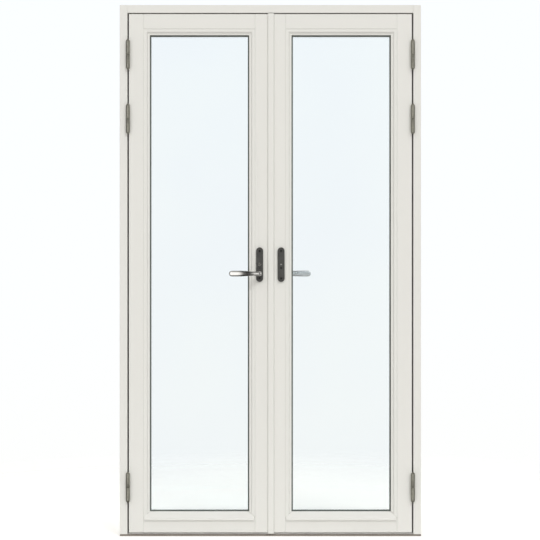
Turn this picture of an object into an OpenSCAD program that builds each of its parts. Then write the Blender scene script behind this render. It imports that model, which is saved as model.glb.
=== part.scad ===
// Outward-opening glazed double door in its timber frame, closed and unlocked.
// Millimetres, +Z up, the outer face looks along -Y, origin at the middle of the threshold's underside.

/* [Frame] */
// Width of the frame over the jambs
frame_w = 1180; // [1000:10:1800]
// Height of the frame from the threshold's underside to the head's top
frame_h = 2080; // [1950:10:2400]
// Depth of the frame from its outer face to its inner face
frame_d = 115; // [105:1:160]
// Width of a jamb's outer face
jamb_face = 30; // [26:1:45]
// Height of the head's outer face
head_face = 31; // [26:1:45]
// How far the stop behind the leaves stands in past the jamb's face
stop_in = 14; // [12:1:20]
// Radius of a fixing screw's hole through a jamb
fixing_r = 4; // [3:0.5:5]
// Radius of the recess for a fixing screw's head
fixing_head_r = 7; // [6:0.5:8]
// Depth of the recess for a fixing screw's head
fixing_head_d = 12; // [8:1:16]
// Height of the lowest fixing hole
fixing_low_z = 300; // [270:10:400]
// Distance between the lowest and the highest fixing hole
fixing_span = 1500; // [1300:10:1520]
// Distance between the two middle fixing holes
fixing_mid_span = 500; // [400:10:600]
// How far the fixing holes stand back from the frame's outer face
fixing_back = 47; // [46:1:56]

/* [Threshold] */
// Height of the threshold's dark base strip
base_h = 7; // [6:1:14]
// Thickness of the aluminium plate on the base strip
sill_plate_t = 4; // [4:0.5:8]
// How far the aluminium plate's nose is set back from the frame's outer face
sill_nose_back = 7.5; // [3:0.5:20]
// How far the threshold's upstand rises behind the leaf's bottom edge
upstand_over = 14; // [12:1:24]
// Wall of the hollow upstand
upstand_wall = 3; // [2:0.5:4]

/* [Leaves] */
// Thickness of a leaf
leaf_t = 68; // [64:1:76]
// How far the leaves' outer face is set back from the frame's outer face
leaf_setback = 1; // [0:0.5:4]
// Gap between a leaf and the jamb beside it
leaf_gap = 6; // [4.5:0.5:7]
// Gap between a leaf and the head
head_gap = 4.5; // [4:0.5:7]
// Gap between a leaf and the threshold's plate
sill_gap = 2.5; // [2:0.5:6]
// Gap between the two leaves at their outer face
meeting_gap = 4; // [3:0.5:6]
// Slope of the meeting edges, which lets a leaf swing past the other
bevel_angle = 5; // [4:0.5:6]
// Width of the stiles and rails
stile_w = 81; // [78:1:110]
// Flat width of the stiles and rails outside the glazing beads
stile_flat = 58; // [56:0.5:60]
// Thickness of the inner lip that the glass is bedded on
lip_t = 18; // [14:1:22]
// Gap between the leaves' inner face and the frame's stop, filled by the seal
stop_gap = 3; // [2:0.5:5]

/* [Glass] */
// Thickness of one pane
pane_t = 4; // [3:0.5:6]
// Space between the two panes
cavity_t = 16; // [12:1:18]
// Room between the glass edge and the rebate
glass_clear = 5; // [3:0.5:6]
// Thickness of the outer gasket
outer_gasket_t = 3; // [2:0.5:4]
// Thickness of the inner gasket
inner_gasket_t = 4; // [2:0.5:5]
// How far the outer gasket shows past the beads
gasket_show = 5.5; // [2:0.5:8]
// Width of the gaskets under the beads
gasket_cover = 10; // [6:1:12]
// Width of the spacer bar
spacer_w = 8; // [6:1:11]
// Depth of the sealant between the glass edge and the spacer
sealant_w = 6; // [4:1:7]
// Length of a setting block under the glass
block_len = 100; // [60:5:120]

/* [Beads] */
// How far a bead's top stands below the leaf's outer face
bead_drop = 1.5; // [1:0.5:3]
// Flat strip of the bead next to the stile
bead_flat = 8; // [6:1:9]
// Radius of the bead's rounded moulding
bead_round_r = 7; // [5:1:8]
// How far the drip bead's nose stands out from the leaf's outer face
drip_out = 8; // [5:1:14]
// Height of the drip bead below the edge of the glass
drip_h = 32; // [30:1:42]
// Height of the drip bead's slope
drip_slope_h = 24; // [12:1:26]
// How far the drip nose's ends stay back from the ends of the bead
drip_end_back = 2; // [1:0.5:9]
// Width of the drip bead's front edge, in front of its groove
drip_edge_t = 2.5; // [2:0.5:4]
// Depth of the drip groove under the nose
drip_groove_h = 2.5; // [1:0.5:4]

/* [Cover strips] */
// Width of the outer astragal over the meeting gap
astragal_w = 26; // [24:1:50]
// How far the astragal's middle lies past the middle of the door, towards the other leaf
astragal_over = 2; // [0:0.5:4]
// Thickness of the outer astragal
astragal_t = 8; // [6:1:16]
// Chamfer on the astragal's front edges
astragal_chamfer = 3.5; // [1:0.5:5]
// How far the astragal rises above the leaf
astragal_up = 2; // [0:0.5:3]
// How far the astragal hangs below the leaf
astragal_down = 3; // [0:0.5:4]
// Gap between the astragal and the other leaf
astragal_relief = 0.6; // [0.4:0.1:1]
// Thickness of the inner cover strip on the passive leaf
strip_t = 10; // [8:1:12]
// How far the inner cover strip reaches over its own leaf from the middle
strip_reach = 20; // [17:1:24]
// How far the inner cover strip reaches over the other leaf from the middle
strip_cover = 14; // [13.5:0.5:15]
// Width of the seal under the inner cover strip
meeting_seal_w = 5; // [4:0.5:5]
// Gap above and below the inner cover strip
strip_end_gap = 3; // [2:1:10]

/* [Hinges] */
// Radius of a hinge barrel
barrel_r = 8; // [7:0.5:9]
// Gap between the barrel and the frame's outer face
barrel_gap = 1; // [0.5:0.5:4]
// Radius of a hinge pin
pin_r = 4; // [3:0.5:4.5]
// Length of one knuckle
knuckle_h = 57; // [50:1:62]
// Chamfer at a knuckle's ends
knuckle_chamfer = 1.8; // [0.5:0.1:2.5]
// Gap between the two knuckles
knuckle_gap = 0.3; // [0.2:0.1:0.5]
// Thickness of a hinge plate
hinge_plate_t = 2.4; // [2:0.1:2.5]
// How far a hinge plate reaches back from the frame's outer face
hinge_plate_back = 33; // [28:1:35]
// Distance of the top hinge's middle below the frame's top
hinge_top_drop = 195; // [180:5:250]
// Distance of the middle hinge's middle below the frame's top
hinge_mid_drop = 447; // [440:1:700]
// Height of the bottom hinge's middle
hinge_low_z = 192; // [170:1:205]

/* [Handles and plates] */
// Distance of the spindle and plates from the middle of the door
spindle_back = 42; // [42:0.5:44]
// Height of the spindle
spindle_z = 1028; // [900:1:1100]
// Width across the flats of the square spindle
spindle_w = 8; // [7:0.5:8]
// Width of an escutcheon plate
plate_w = 27.5; // [26:0.5:30]
// Length of an escutcheon plate
plate_len = 135; // [134:1:160]
// Thickness of an escutcheon plate
plate_t = 7; // [5:0.5:10]
// Height of a plate's middle above the spindle
plate_up = 35; // [34:0.5:40]
// Height of the key cylinder above the spindle
cylinder_up = 36; // [36:0.5:40]
// Height of the small hole above the spindle
pin_hole_up = 21.5; // [19:0.5:23]
// Radius of the small hole
pin_hole_r = 1.8; // [1:0.1:2.5]
// Depth of the small hole
pin_hole_d = 4; // [2:0.5:5]
// Radius of a lever's neck in its plate
neck_r = 8; // [7:0.5:9]
// Radius of a lever's boss
boss_r = 9.5; // [9:0.5:12]
// Distance from the spindle to a lever's end
lever_len = 119; // [100:1:140]
// Distance from a plate's face to the middle of the grip
grip_off = 38; // [32:1:50]
// Thickness of the grip
grip_t = 12; // [9:0.5:16]
// Height of the grip at its widest
grip_h = 23; // [18:1:26]
// Height of the grip at its waist
grip_waist_h = 17; // [14:0.5:20]
// How far the grip swings out near its boss, and back towards the leaf at its end
grip_wave = 3; // [0:0.5:4]

/* [Key cylinder] */
// Radius of the cylinder inside the leaf
cylinder_r = 8.5; // [7:0.5:8.5]
// Radius of the cylinder's nose in the plate
nose_r = 6.5; // [5.5:0.5:6.5]
// How far the nose stands out of the plate
nose_out = 0.8; // [0.2:0.1:2]
// Radius of the turning plug
plug_r = 4.5; // [3.5:0.5:5]
// Radius of the thumb turn's base
turn_r = 9; // [8:0.5:11]
// Length of the thumb turn's wing
turn_wing_len = 24; // [18:1:26]

/* [Espagnolette] */
// Module of the pinion and the racks
gear_module = 1.4; // [1.3:0.05:1.4]
// Thickness of the racks and rods
rod_w = 8; // [7:0.5:9]
// Distance of the rods from the middle of the door
rod_back = 13; // [12.5:0.5:14]
// Thickness of the back of a rack
rack_back_t = 2.8; // [2.4:0.1:3]
// Wall of the gear case
case_wall = 1.4; // [1.2:0.1:1.5]
// Width of the faceplate on the meeting edge
faceplate_w = 16; // [15:1:18]
// Thickness of the faceplate
faceplate_t = 2.5; // [2:0.5:3]
// Radius of a bolt's end
bolt_r = 4; // [3:0.5:4]
// Length of a bolt's round end
bolt_len = 22; // [18:1:40]
// How far a bolt's end stays back inside the leaf at rest
bolt_back = 2; // [0.5:0.5:3]
// Thickness of a bolt keep
keep_t = 2.5; // [2:0.5:3]
// Width of a bolt keep across the door
keep_w = 20; // [18:1:22]
// Depth of a bolt keep, front to back
keep_d = 24; // [18:1:30]

/* [Hidden] */

// Colours of the finishes
paint = [0.90, 0.90, 0.87];
dark_metal = [0.33, 0.33, 0.32];
bright_metal = [0.76, 0.76, 0.72];
zinc_metal = [0.64, 0.64, 0.60];
alu_metal = [0.70, 0.70, 0.69];
base_colour = [0.46, 0.42, 0.39];
rubber_colour = [0.42, 0.45, 0.42];
dark_rubber = [0.15, 0.14, 0.13];
glass_colour = [0.90, 0.95, 1.00, 0.35];

// A cut reaches this far past the surface that it opens
cut = 1;
// Radial clearance of a running fit
run_clear = 0.05;
// Radial clearance of a fastener in its own hole
screw_clear = 0.02;
// Room between a moving piece and a flat face beside it
slide_clear = 0.3;
round_fn = 64;
small_fn = 32;

// Faces of the frame, seen in plan
outer_y = -frame_d / 2;
inner_y = frame_d / 2;
jamb_x = frame_w / 2 - jamb_face;
stop_x = jamb_x - stop_in;
head_z = frame_h - head_face;
head_stop_z = head_z - stop_in;
sill_top = base_h + sill_plate_t;

// Faces of the left leaf, seen in plan and from the front
leaf_x0 = -jamb_x + leaf_gap;
leaf_x1 = -meeting_gap / 2;
leaf_y0 = outer_y + leaf_setback;
leaf_y1 = leaf_y0 + leaf_t;
leaf_z0 = sill_top + sill_gap;
leaf_z1 = head_z - head_gap;
leaf_mid_y = (leaf_y0 + leaf_y1) / 2;
bevel = leaf_t * tan(bevel_angle);
rebate_d = leaf_t - lip_t;
stop_y = leaf_y1 + stop_gap;
upstand_z = leaf_z0 + upstand_over;

// Layers of the glazing, from the beads in
bead_w = stile_w - stile_flat;
bead_d = rebate_d - inner_gasket_t - 2 * pane_t - cavity_t - outer_gasket_t;
bead_y = leaf_y0 + bead_d;
outer_pane_y = bead_y + outer_gasket_t;
inner_pane_y = outer_pane_y + pane_t + cavity_t;
lip_y = leaf_y0 + rebate_d;
glass_in = stile_flat + glass_clear;

// Hinge axis of the left leaf
hinge_x = leaf_x0 - leaf_gap / 2;
hinge_y = outer_y - barrel_r - barrel_gap;
hinge_zs = [frame_h - hinge_top_drop, frame_h - hinge_mid_drop, hinge_low_z];
hinge_plate_y = outer_y + hinge_plate_back;
hinge_screw_y = outer_y + hinge_plate_back / 2;
hinge_screw_step = knuckle_h / 2;
pin_in = knuckle_h * 0.7;
tip_h = 3;
plate_in_barrel = 2;

// Screws of the hinges and plates
screw_r = 2;
screw_head_r = 3.9;
screw_head_h = 2;
screw_len = 25;
plate_screw_off = (plate_len - plate_w) / 2;

// Pinion and racks of the espagnolette
gear_teeth = 12;
gear_pressure = 20;
gear_backlash = 0.1;
tooth_pitch = PI * gear_module;
pitch_r = gear_module * gear_teeth / 2;
tooth_out = 0.7 * gear_module;
tooth_in = 0.95 * gear_module;
base_r = pitch_r * cos(gear_pressure);
throw = pitch_r * PI / 2;
hub_r = 6.5;
rack_reach = 5 * gear_module;
flank_steps = 5;

// Place of the rods, the gear case and their arms, measured from the spindle
rod_y = leaf_mid_y;
spindle_x = -spindle_back;
rod_x = -rod_back;
arm_h = 5;
rack_root = pitch_r + tooth_in;
rack_outer = rack_root + rack_back_t;
upper_arm_z = rack_reach + slide_clear;
lower_arm_z = -(rack_reach + throw + slide_clear + arm_h);
case_in_w = rod_w + 2 * slide_clear;
case_cheek = 2;
case_w = case_in_w + 2 * case_cheek;
hub_len = case_w - 2 * slide_clear;
case_x0 = spindle_x - rack_outer - slide_clear - case_wall;
case_hi = upper_arm_z + arm_h + throw + slide_clear;
case_lo = lower_arm_z - throw - slide_clear;
channel_w = rod_w + 4 * slide_clear;
channel_x0 = rod_x - rod_w / 2 - 2 * slide_clear;

// The faceplate lies in the bevelled meeting edge, level with the rods
edge_x = leaf_x1 - (rod_y - leaf_y0) * tan(bevel_angle);
case_x1 = edge_x - faceplate_t / cos(bevel_angle) - case_w / 2 * tan(bevel_angle);
bolt_hole_clear = 0.4;
bolt_room = 4;

function lever_t(i) = i / lever_steps;
lever_steps = 20;
grip_end_t = grip_t * 0.75;
grip_waist_t = 0.15;
grip_full_t = 0.75;
// The grip's middle line follows this much of a wave, a little quicker near the boss
grip_turn = 240;
grip_lead = 0.85;
collar_t = 7;

// Puts a left-hand piece on its side of the door
module on_side(side) {
  if (side == "right") mirror([1, 0, 0]) children();
  else children();
}

// Turns a piece on the leaf's outer face round to its inner face
module on_inner_face() {
  translate([0, leaf_y0 + leaf_y1, 0]) mirror([0, 1, 0]) children();
}

module box(lo, hi) {
  translate(lo) cube(hi - lo);
}

// Cylinder along +Y from a point
module rod_along_y(r, from, len, fn = round_fn) {
  translate(from) rotate([-90, 0, 0]) cylinder(r = r, h = len, $fn = fn);
}

// Rectangular ring in the leaf's plane, from one inset to a deeper one
module leaf_ring(inset_out, inset_in, y_from, y_to) {
  difference() {
    box([leaf_x0 + inset_out, y_from, leaf_z0 + inset_out],
        [leaf_x1 - inset_out, y_to, leaf_z1 - inset_out]);
    box([leaf_x0 + inset_in, y_from - cut, leaf_z0 + inset_in],
        [leaf_x1 - inset_in, y_to + cut, leaf_z1 - inset_in]);
  }
}

// Countersunk screw with its head's top at the origin, pointing along -Z
module screw(extra = 0) {
  translate([0, 0, -screw_head_h])
    cylinder(r1 = screw_r + extra, r2 = screw_head_r + extra, h = screw_head_h, $fn = small_fn);
  translate([0, 0, -screw_len - extra])
    cylinder(r = screw_r + extra, h = screw_len - screw_head_h + 2 * extra, $fn = small_fn);
}

// Screws of the leaf's hinge plates, driven into the stile's edge
module leaf_hinge_screws(extra = 0) {
  for (z = hinge_zs, k = [0.5, 1.5])
    translate([leaf_x0 - hinge_plate_t, hinge_screw_y, z + k * hinge_screw_step])
      rotate([0, -90, 0]) screw(extra);
}

// Screws of the frame's hinge plates, driven into the jamb
module frame_hinge_screws(extra = 0) {
  for (z = hinge_zs, k = [-1.5, -0.5])
    translate([-jamb_x + hinge_plate_t, hinge_screw_y, z + k * hinge_screw_step])
      rotate([0, 90, 0]) screw(extra);
}

// Screws of one escutcheon plate on the outer face
module plate_screws(extra = 0) {
  for (k = [-1, 1])
    translate([spindle_x, leaf_y0 - plate_t, spindle_z + plate_up + k * plate_screw_off])
      rotate([90, 0, 0]) screw(extra);
}

// Through holes and head recesses for the screws that hold a jamb to the wall
module fixing_holes() {
  mid = fixing_low_z + fixing_span / 2;
  for (z = [fixing_low_z, mid - fixing_mid_span / 2, mid + fixing_mid_span / 2,
            fixing_low_z + fixing_span])
    translate([-frame_w / 2 - cut, outer_y + fixing_back, z]) rotate([0, 90, 0]) {
      cylinder(r = fixing_r, h = jamb_face + 2 * cut, $fn = round_fn);
      translate([0, 0, jamb_face + cut - fixing_head_d])
        cylinder(r = fixing_head_r, h = fixing_head_d + cut, $fn = round_fn);
    }
}

module jamb(side) {
  color(paint) on_side(side) difference() {
    union() {
      box([-frame_w / 2, outer_y, base_h], [-jamb_x, inner_y, frame_h]);
      box([-jamb_x - cut, stop_y, base_h], [-stop_x, inner_y, frame_h]);
    }
    fixing_holes();
    frame_hinge_screws(screw_clear);
    jamb_seal_stem(cut);
  }
}

module head() {
  color(paint) difference() {
    union() {
      box([-jamb_x, outer_y, head_z], [jamb_x, stop_y, frame_h]);
      box([-stop_x, stop_y - cut, head_z], [stop_x, inner_y, frame_h]);
      box([-stop_x, stop_y, head_stop_z], [stop_x, inner_y, head_z + cut]);
    }
    head_seal_stem(cut);
    for (side = ["left", "right"]) on_side(side) {
      keep_block(head_z, head_z + keep_t);
      translate([rod_x, rod_y, head_z])
        cylinder(r = bolt_r + bolt_hole_clear, h = throw + bolt_room, $fn = round_fn);
    }
  }
}

module threshold_base() {
  color(base_colour) difference() {
    box([-frame_w / 2, outer_y, 0], [frame_w / 2, inner_y, base_h]);
    for (side = ["left", "right"]) on_side(side) bolt_hole_in_sill();
  }
}

module threshold_plate() {
  color(alu_metal) difference() {
    union() {
      box([-jamb_x, outer_y + sill_nose_back, base_h], [jamb_x, stop_y, sill_top]);
      box([-stop_x, stop_y - cut, base_h], [stop_x, inner_y, sill_top]);
      box([-stop_x, stop_y, base_h], [stop_x, inner_y, upstand_z]);
    }
    box([-stop_x - cut, stop_y + upstand_wall, base_h - cut],
        [stop_x + cut, inner_y - upstand_wall, upstand_z - upstand_wall]);
    sill_seal_stem();
    for (side = ["left", "right"]) on_side(side) {
      bolt_hole_in_sill();
      keep_block(sill_top - keep_t, sill_top);
    }
  }
}

// Space for a bolt's end in the threshold
module bolt_hole_in_sill() {
  floor_z = leaf_z0 + bolt_back - throw - slide_clear;
  translate([rod_x, rod_y, floor_z])
    cylinder(r = bolt_r + bolt_hole_clear, h = sill_top + cut - floor_z, $fn = round_fn);
}

// Outline of one bolt keep between two heights
module keep_block(z_from, z_to) {
  box([rod_x - keep_w / 2, rod_y - keep_d / 2, z_from],
      [rod_x + keep_w / 2, rod_y + keep_d / 2, z_to]);
}

module bolt_keeps() {
  color(bright_metal)
    for (side = ["left", "right"]) on_side(side) difference() {
      union() {
        keep_block(head_z, head_z + keep_t);
        keep_block(sill_top - keep_t, sill_top);
      }
      translate([rod_x, rod_y, base_h])
        cylinder(r = bolt_r + bolt_hole_clear, h = frame_h - base_h, $fn = round_fn);
    }
}

// Seal of the frame: a lip that meets the leaf and a stem held in a groove
seal_w = 6;
stem_w = 3;
stem_d = 2;
jamb_seal_x = (leaf_x0 - stop_x) / 2;
head_seal_z = (leaf_z1 + head_stop_z) / 2;
sill_seal_z = (leaf_z0 + upstand_z) / 2;

module jamb_seal_stem(extra = 0) {
  box([jamb_seal_x - stem_w / 2, stop_y - extra, leaf_z0],
      [jamb_seal_x + stem_w / 2, stop_y + stem_d, head_stop_z]);
}

module head_seal_stem(extra = 0) {
  box([-stop_x, stop_y - extra, head_seal_z - stem_w / 2],
      [stop_x, stop_y + stem_d, head_seal_z + stem_w / 2]);
}

module sill_seal_stem(extra = 0) {
  box([-stop_x, stop_y - extra, sill_seal_z - stem_w / 2],
      [stop_x, stop_y + stem_d, sill_seal_z + stem_w / 2]);
}

module frame_seal() {
  lip_front = leaf_y1 + slide_clear;
  color(dark_rubber) {
    for (side = ["left", "right"]) on_side(side) {
      jamb_seal_stem();
      box([jamb_seal_x - seal_w / 2, lip_front, leaf_z0],
          [jamb_seal_x + seal_w / 2, stop_y, leaf_z1]);
    }
    for (z = [head_seal_z, sill_seal_z])
      box([jamb_seal_x + seal_w / 2, lip_front, z - seal_w / 2],
          [-jamb_seal_x - seal_w / 2, stop_y, z + seal_w / 2]);
    head_seal_stem();
    sill_seal_stem();
  }
}

// Outline of a knuckle, blind at its outer end, with the bore's mouth at height 0
module knuckle(bore_r) {
  rotate_extrude($fn = round_fn)
    polygon([
      [bore_r, 0], [barrel_r - knuckle_chamfer, 0], [barrel_r, knuckle_chamfer],
      [barrel_r, knuckle_h - knuckle_chamfer], [barrel_r - knuckle_chamfer, knuckle_h],
      [pin_r / 2, knuckle_h + tip_h], [0, knuckle_h + tip_h], [0, pin_in + cut], [bore_r, pin_in + cut]
    ]);
}

module frame_hinges(side) {
  color(zinc_metal) on_side(side) difference() {
    for (z = hinge_zs) {
      translate([hinge_x, hinge_y, z]) mirror([0, 0, 1]) knuckle(pin_r + screw_clear);
      difference() {
        box([-jamb_x, hinge_y, z - knuckle_h + knuckle_chamfer],
            [-jamb_x + hinge_plate_t, hinge_plate_y, z - knuckle_chamfer]);
        translate([hinge_x, hinge_y, z - knuckle_h])
          cylinder(r = barrel_r - plate_in_barrel, h = knuckle_h, $fn = round_fn);
      }
    }
    frame_hinge_screws(screw_clear);
  }
}

module leaf_hinges(side) {
  color(zinc_metal) on_side(side) difference() {
    for (z = hinge_zs) {
      translate([hinge_x, hinge_y, z + knuckle_gap]) knuckle(pin_r + run_clear);
      difference() {
        box([leaf_x0 - hinge_plate_t, hinge_y, z + knuckle_gap + knuckle_chamfer],
            [leaf_x0, hinge_plate_y, z + knuckle_h - knuckle_chamfer]);
        translate([hinge_x, hinge_y, z])
          cylinder(r = barrel_r - plate_in_barrel, h = knuckle_h + knuckle_gap, $fn = round_fn);
      }
    }
    leaf_hinge_screws(screw_clear);
  }
}

module hinge_pins() {
  color(bright_metal)
    for (side = ["left", "right"], z = hinge_zs) on_side(side)
      translate([hinge_x, hinge_y, z - pin_in]) cylinder(r = pin_r, h = 2 * pin_in, $fn = round_fn);
}

module frame_screws() {
  color(bright_metal) for (side = ["left", "right"]) on_side(side) frame_hinge_screws();
}

// Stiles run the leaf's full height; the glazing rebate opens to the outside
module hinge_stile(side) {
  color(paint) on_side(side) difference() {
    translate([0, 0, leaf_z0]) linear_extrude(leaf_z1 - leaf_z0)
      polygon([
        [leaf_x0, leaf_y0], [leaf_x0 + stile_flat, leaf_y0], [leaf_x0 + stile_flat, lip_y],
        [leaf_x0 + stile_w, lip_y], [leaf_x0 + stile_w, leaf_y1], [leaf_x0, leaf_y1]
      ]);
    leaf_hinge_screws(screw_clear);
  }
}

module meeting_stile(side) {
  color(paint) on_side(side) difference() {
    translate([0, 0, leaf_z0]) linear_extrude(leaf_z1 - leaf_z0)
      polygon([
        [leaf_x1 - stile_flat, leaf_y0], [leaf_x1, leaf_y0], [leaf_x1 - bevel, leaf_y1],
        [leaf_x1 - stile_w, leaf_y1], [leaf_x1 - stile_w, lip_y], [leaf_x1 - stile_flat, lip_y]
      ]);
    faceplate_block(cut);
    box([channel_x0, rod_y - channel_w / 2, leaf_z0 - cut],
        [edge_x, rod_y + channel_w / 2, leaf_z1 + cut]);
    box([case_x0, rod_y - case_w / 2, spindle_z + case_lo - case_wall],
        [edge_x, rod_y + case_w / 2, spindle_z + case_hi + case_wall]);
    spindle_hole(side);
    plate_screws(screw_clear);
    on_inner_face() plate_screws(screw_clear);
    if (side == "left")
      rod_along_y(cylinder_r + run_clear, [spindle_x, leaf_y0 - cut, spindle_z + cylinder_up],
                  leaf_t + 2 * cut);
  }
}

// The outer lever's spindle passes right through; the passive leaf's stops in the gear case
module spindle_hole(side) {
  from = side == "left" ? leaf_y0 - cut : rod_y;
  rod_along_y(hub_r + slide_clear, [spindle_x, from, spindle_z], leaf_y1 + cut - from);
}

// A rail lies between the stiles' flats, and its ends are notched round their inner lips
module rail(side, top) {
  z_edge = top ? leaf_z1 : leaf_z0;
  inward = top ? -1 : 1;
  z_flat = z_edge + inward * stile_flat;
  z_lip = z_edge + inward * stile_w;
  color(paint) on_side(side) union() {
    box([leaf_x0 + stile_flat, leaf_y0, min(z_edge, z_flat)],
        [leaf_x1 - stile_flat, lip_y, max(z_edge, z_flat)]);
    box([leaf_x0 + stile_w, lip_y - cut, min(z_edge, z_flat)],
        [leaf_x1 - stile_w, leaf_y1, max(z_edge, z_flat)]);
    box([leaf_x0 + stile_w, lip_y, min(z_flat, z_lip) - (top ? 0 : cut)],
        [leaf_x1 - stile_w, leaf_y1, max(z_flat, z_lip) + (top ? cut : 0)]);
  }
}

module panes(side) {
  color(glass_colour) on_side(side)
    for (y = [outer_pane_y, inner_pane_y])
      box([leaf_x0 + glass_in, y, leaf_z0 + glass_in],
          [leaf_x1 - glass_in, y + pane_t, leaf_z1 - glass_in]);
}

module spacer(side) {
  ring_in = glass_in + sealant_w;
  color(alu_metal) on_side(side)
    leaf_ring(ring_in, ring_in + spacer_w, outer_pane_y + pane_t, inner_pane_y);
}

module gaskets(side) {
  color(rubber_colour) on_side(side) {
    leaf_ring(stile_w - gasket_cover, stile_w + gasket_show, bead_y, outer_pane_y);
    leaf_ring(stile_w - gasket_cover, stile_w, inner_pane_y + pane_t, lip_y);
  }
}

// Two blocks carry the glass at a quarter of its width from each end
module setting_blocks(side) {
  glass_w = leaf_x1 - leaf_x0 - 2 * glass_in;
  color(dark_rubber) on_side(side)
    for (k = [1, 3])
      translate([leaf_x0 + glass_in + k * glass_w / 4 - block_len / 2, outer_pane_y,
                 leaf_z0 + stile_flat])
        cube([block_len, inner_pane_y + pane_t - outer_pane_y, glass_clear]);
}

// Step from a bead's rounded moulding down to its inner edge
bead_edge_drop = 1;

// Section of a bead: distance from the stile's flat, and depth below the leaf's face
bead_section = concat(
  [[0, bead_d], [0, bead_drop]],
  [for (a = [0:10:90])
    [bead_flat + bead_round_r * sin(a), bead_drop + bead_round_r * (1 - cos(a))]],
  [[bead_w, bead_drop + bead_round_r + bead_edge_drop], [bead_w, bead_d]]
);

// Front outline of one mitred bead along the glass opening's side
module mitre_prism(from, to, inward) {
  rotate([90, 0, 0]) translate([0, 0, -inner_y]) linear_extrude(frame_d)
    polygon([from, to, to + bead_w * (inward + unit(from - to)),
             from + bead_w * (inward + unit(to - from))]);
}

function unit(v) = v / norm(v);

open_x0 = leaf_x0 + stile_flat;
open_x1 = leaf_x1 - stile_flat;
open_z0 = leaf_z0 + stile_flat;
open_z1 = leaf_z1 - stile_flat;

module side_bead() {
  intersection() {
    translate([open_x0, leaf_y0, open_z0]) linear_extrude(open_z1 - open_z0)
      polygon(bead_section);
    mitre_prism([open_x0, open_z0], [open_x0, open_z1], [1, 0]);
  }
}

module top_bead() {
  intersection() {
    translate([open_x0, leaf_y0, open_z1]) rotate([0, 90, 0])
      linear_extrude(open_x1 - open_x0) polygon(bead_section);
    mitre_prism([open_x0, open_z1], [open_x1, open_z1], [0, -1]);
  }
}

module glazing_beads(side) {
  color(paint) on_side(side) {
    side_bead();
    translate([open_x0 + open_x1, 0, 0]) mirror([1, 0, 0]) side_bead();
    top_bead();
  }
}

// Section of the drip bead as [Y, Z], with a groove under its nose
drip_top = open_z0 + bead_w;
drip_low = drip_top - drip_h;
nose_y = leaf_y0 - drip_out;
drip_top_d = 4;
drip_section = [
  [bead_y, open_z0], [bead_y, drip_top], [bead_y - drip_top_d, drip_top],
  [nose_y, drip_top - drip_slope_h], [nose_y, drip_low], [nose_y + drip_edge_t, drip_low],
  [nose_y + drip_edge_t, drip_low + drip_groove_h], [leaf_y0, drip_low + drip_groove_h],
  [leaf_y0, open_z0]
];

module drip_bead(side) {
  color(paint) on_side(side) intersection() {
    translate([open_x0, 0, 0]) rotate([90, 0, 90]) linear_extrude(open_x1 - open_x0)
      polygon(drip_section);
    union() {
      intersection() {
        mitre_prism([open_x0, open_z0], [open_x1, open_z0], [0, 1]);
        box([open_x0, leaf_y0 - slide_clear, open_z0], [open_x1, inner_y, drip_top]);
      }
      box([open_x0 + drip_end_back, nose_y - cut, drip_low - cut],
          [open_x1 - drip_end_back, leaf_y0, drip_top]);
    }
  }
}

// Obround plate on the leaf's outer face
module plate_blank() {
  translate([spindle_x, leaf_y0, spindle_z + plate_up]) rotate([90, 0, 0]) {
    for (k = [-1, 1]) translate([0, k * plate_screw_off, 0])
      cylinder(r = plate_w / 2, h = plate_t, $fn = round_fn);
    translate([-plate_w / 2, -plate_screw_off, 0]) cube([plate_w, 2 * plate_screw_off, plate_t]);
  }
}

module outer_plate(side) {
  color(dark_metal) on_side(side) union() {
    difference() {
      plate_blank();
      plate_screws(screw_clear);
      rod_along_y(pin_hole_r, [spindle_x, leaf_y0 - plate_t - cut, spindle_z + pin_hole_up],
                  pin_hole_d + cut, small_fn);
      if (side == "left") plate_bores(side);
    }
    if (side == "right")
      rod_along_y(nose_r / 2, [spindle_x, leaf_y0 - plate_t - nose_out, spindle_z + cylinder_up],
                  nose_out + cut, small_fn);
  }
}

// Bores of a plate for the lever's neck and, on the active leaf, the cylinder's nose
module plate_bores(side) {
  rod_along_y(neck_r + run_clear, [spindle_x, leaf_y0 - plate_t - cut, spindle_z], plate_t + 2 * cut);
  if (side == "left")
    rod_along_y(nose_r + run_clear, [spindle_x, leaf_y0 - plate_t - cut, spindle_z + cylinder_up],
                plate_t + 2 * cut);
}

module inner_plate(side) {
  color(dark_metal) on_side(side) on_inner_face() difference() {
    plate_blank();
    plate_screws(screw_clear);
    plate_bores(side);
  }
}

module leaf_screws(side) {
  color(bright_metal) on_side(side) {
    leaf_hinge_screws();
    plate_screws();
    on_inner_face() plate_screws();
  }
}

// The lever's grip: half its height, and its middle line, along its length from 0 to 1
function grip_half_h(t) = t < grip_waist_t
  ? boss_r + (grip_waist_h / 2 - boss_r) * (1 - cos(180 * t / grip_waist_t)) / 2
  : grip_waist_h / 2 + (grip_h - grip_waist_h) / 2
    * (1 - cos(180 * min(1, (t - grip_waist_t) / (grip_full_t - grip_waist_t)))) / 2;
function grip_line(t) = -grip_wave * sin(grip_turn * pow(t, grip_lead));
function grip_half_t(t) = (grip_t + (grip_end_t - grip_t) * t) / 2;

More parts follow.
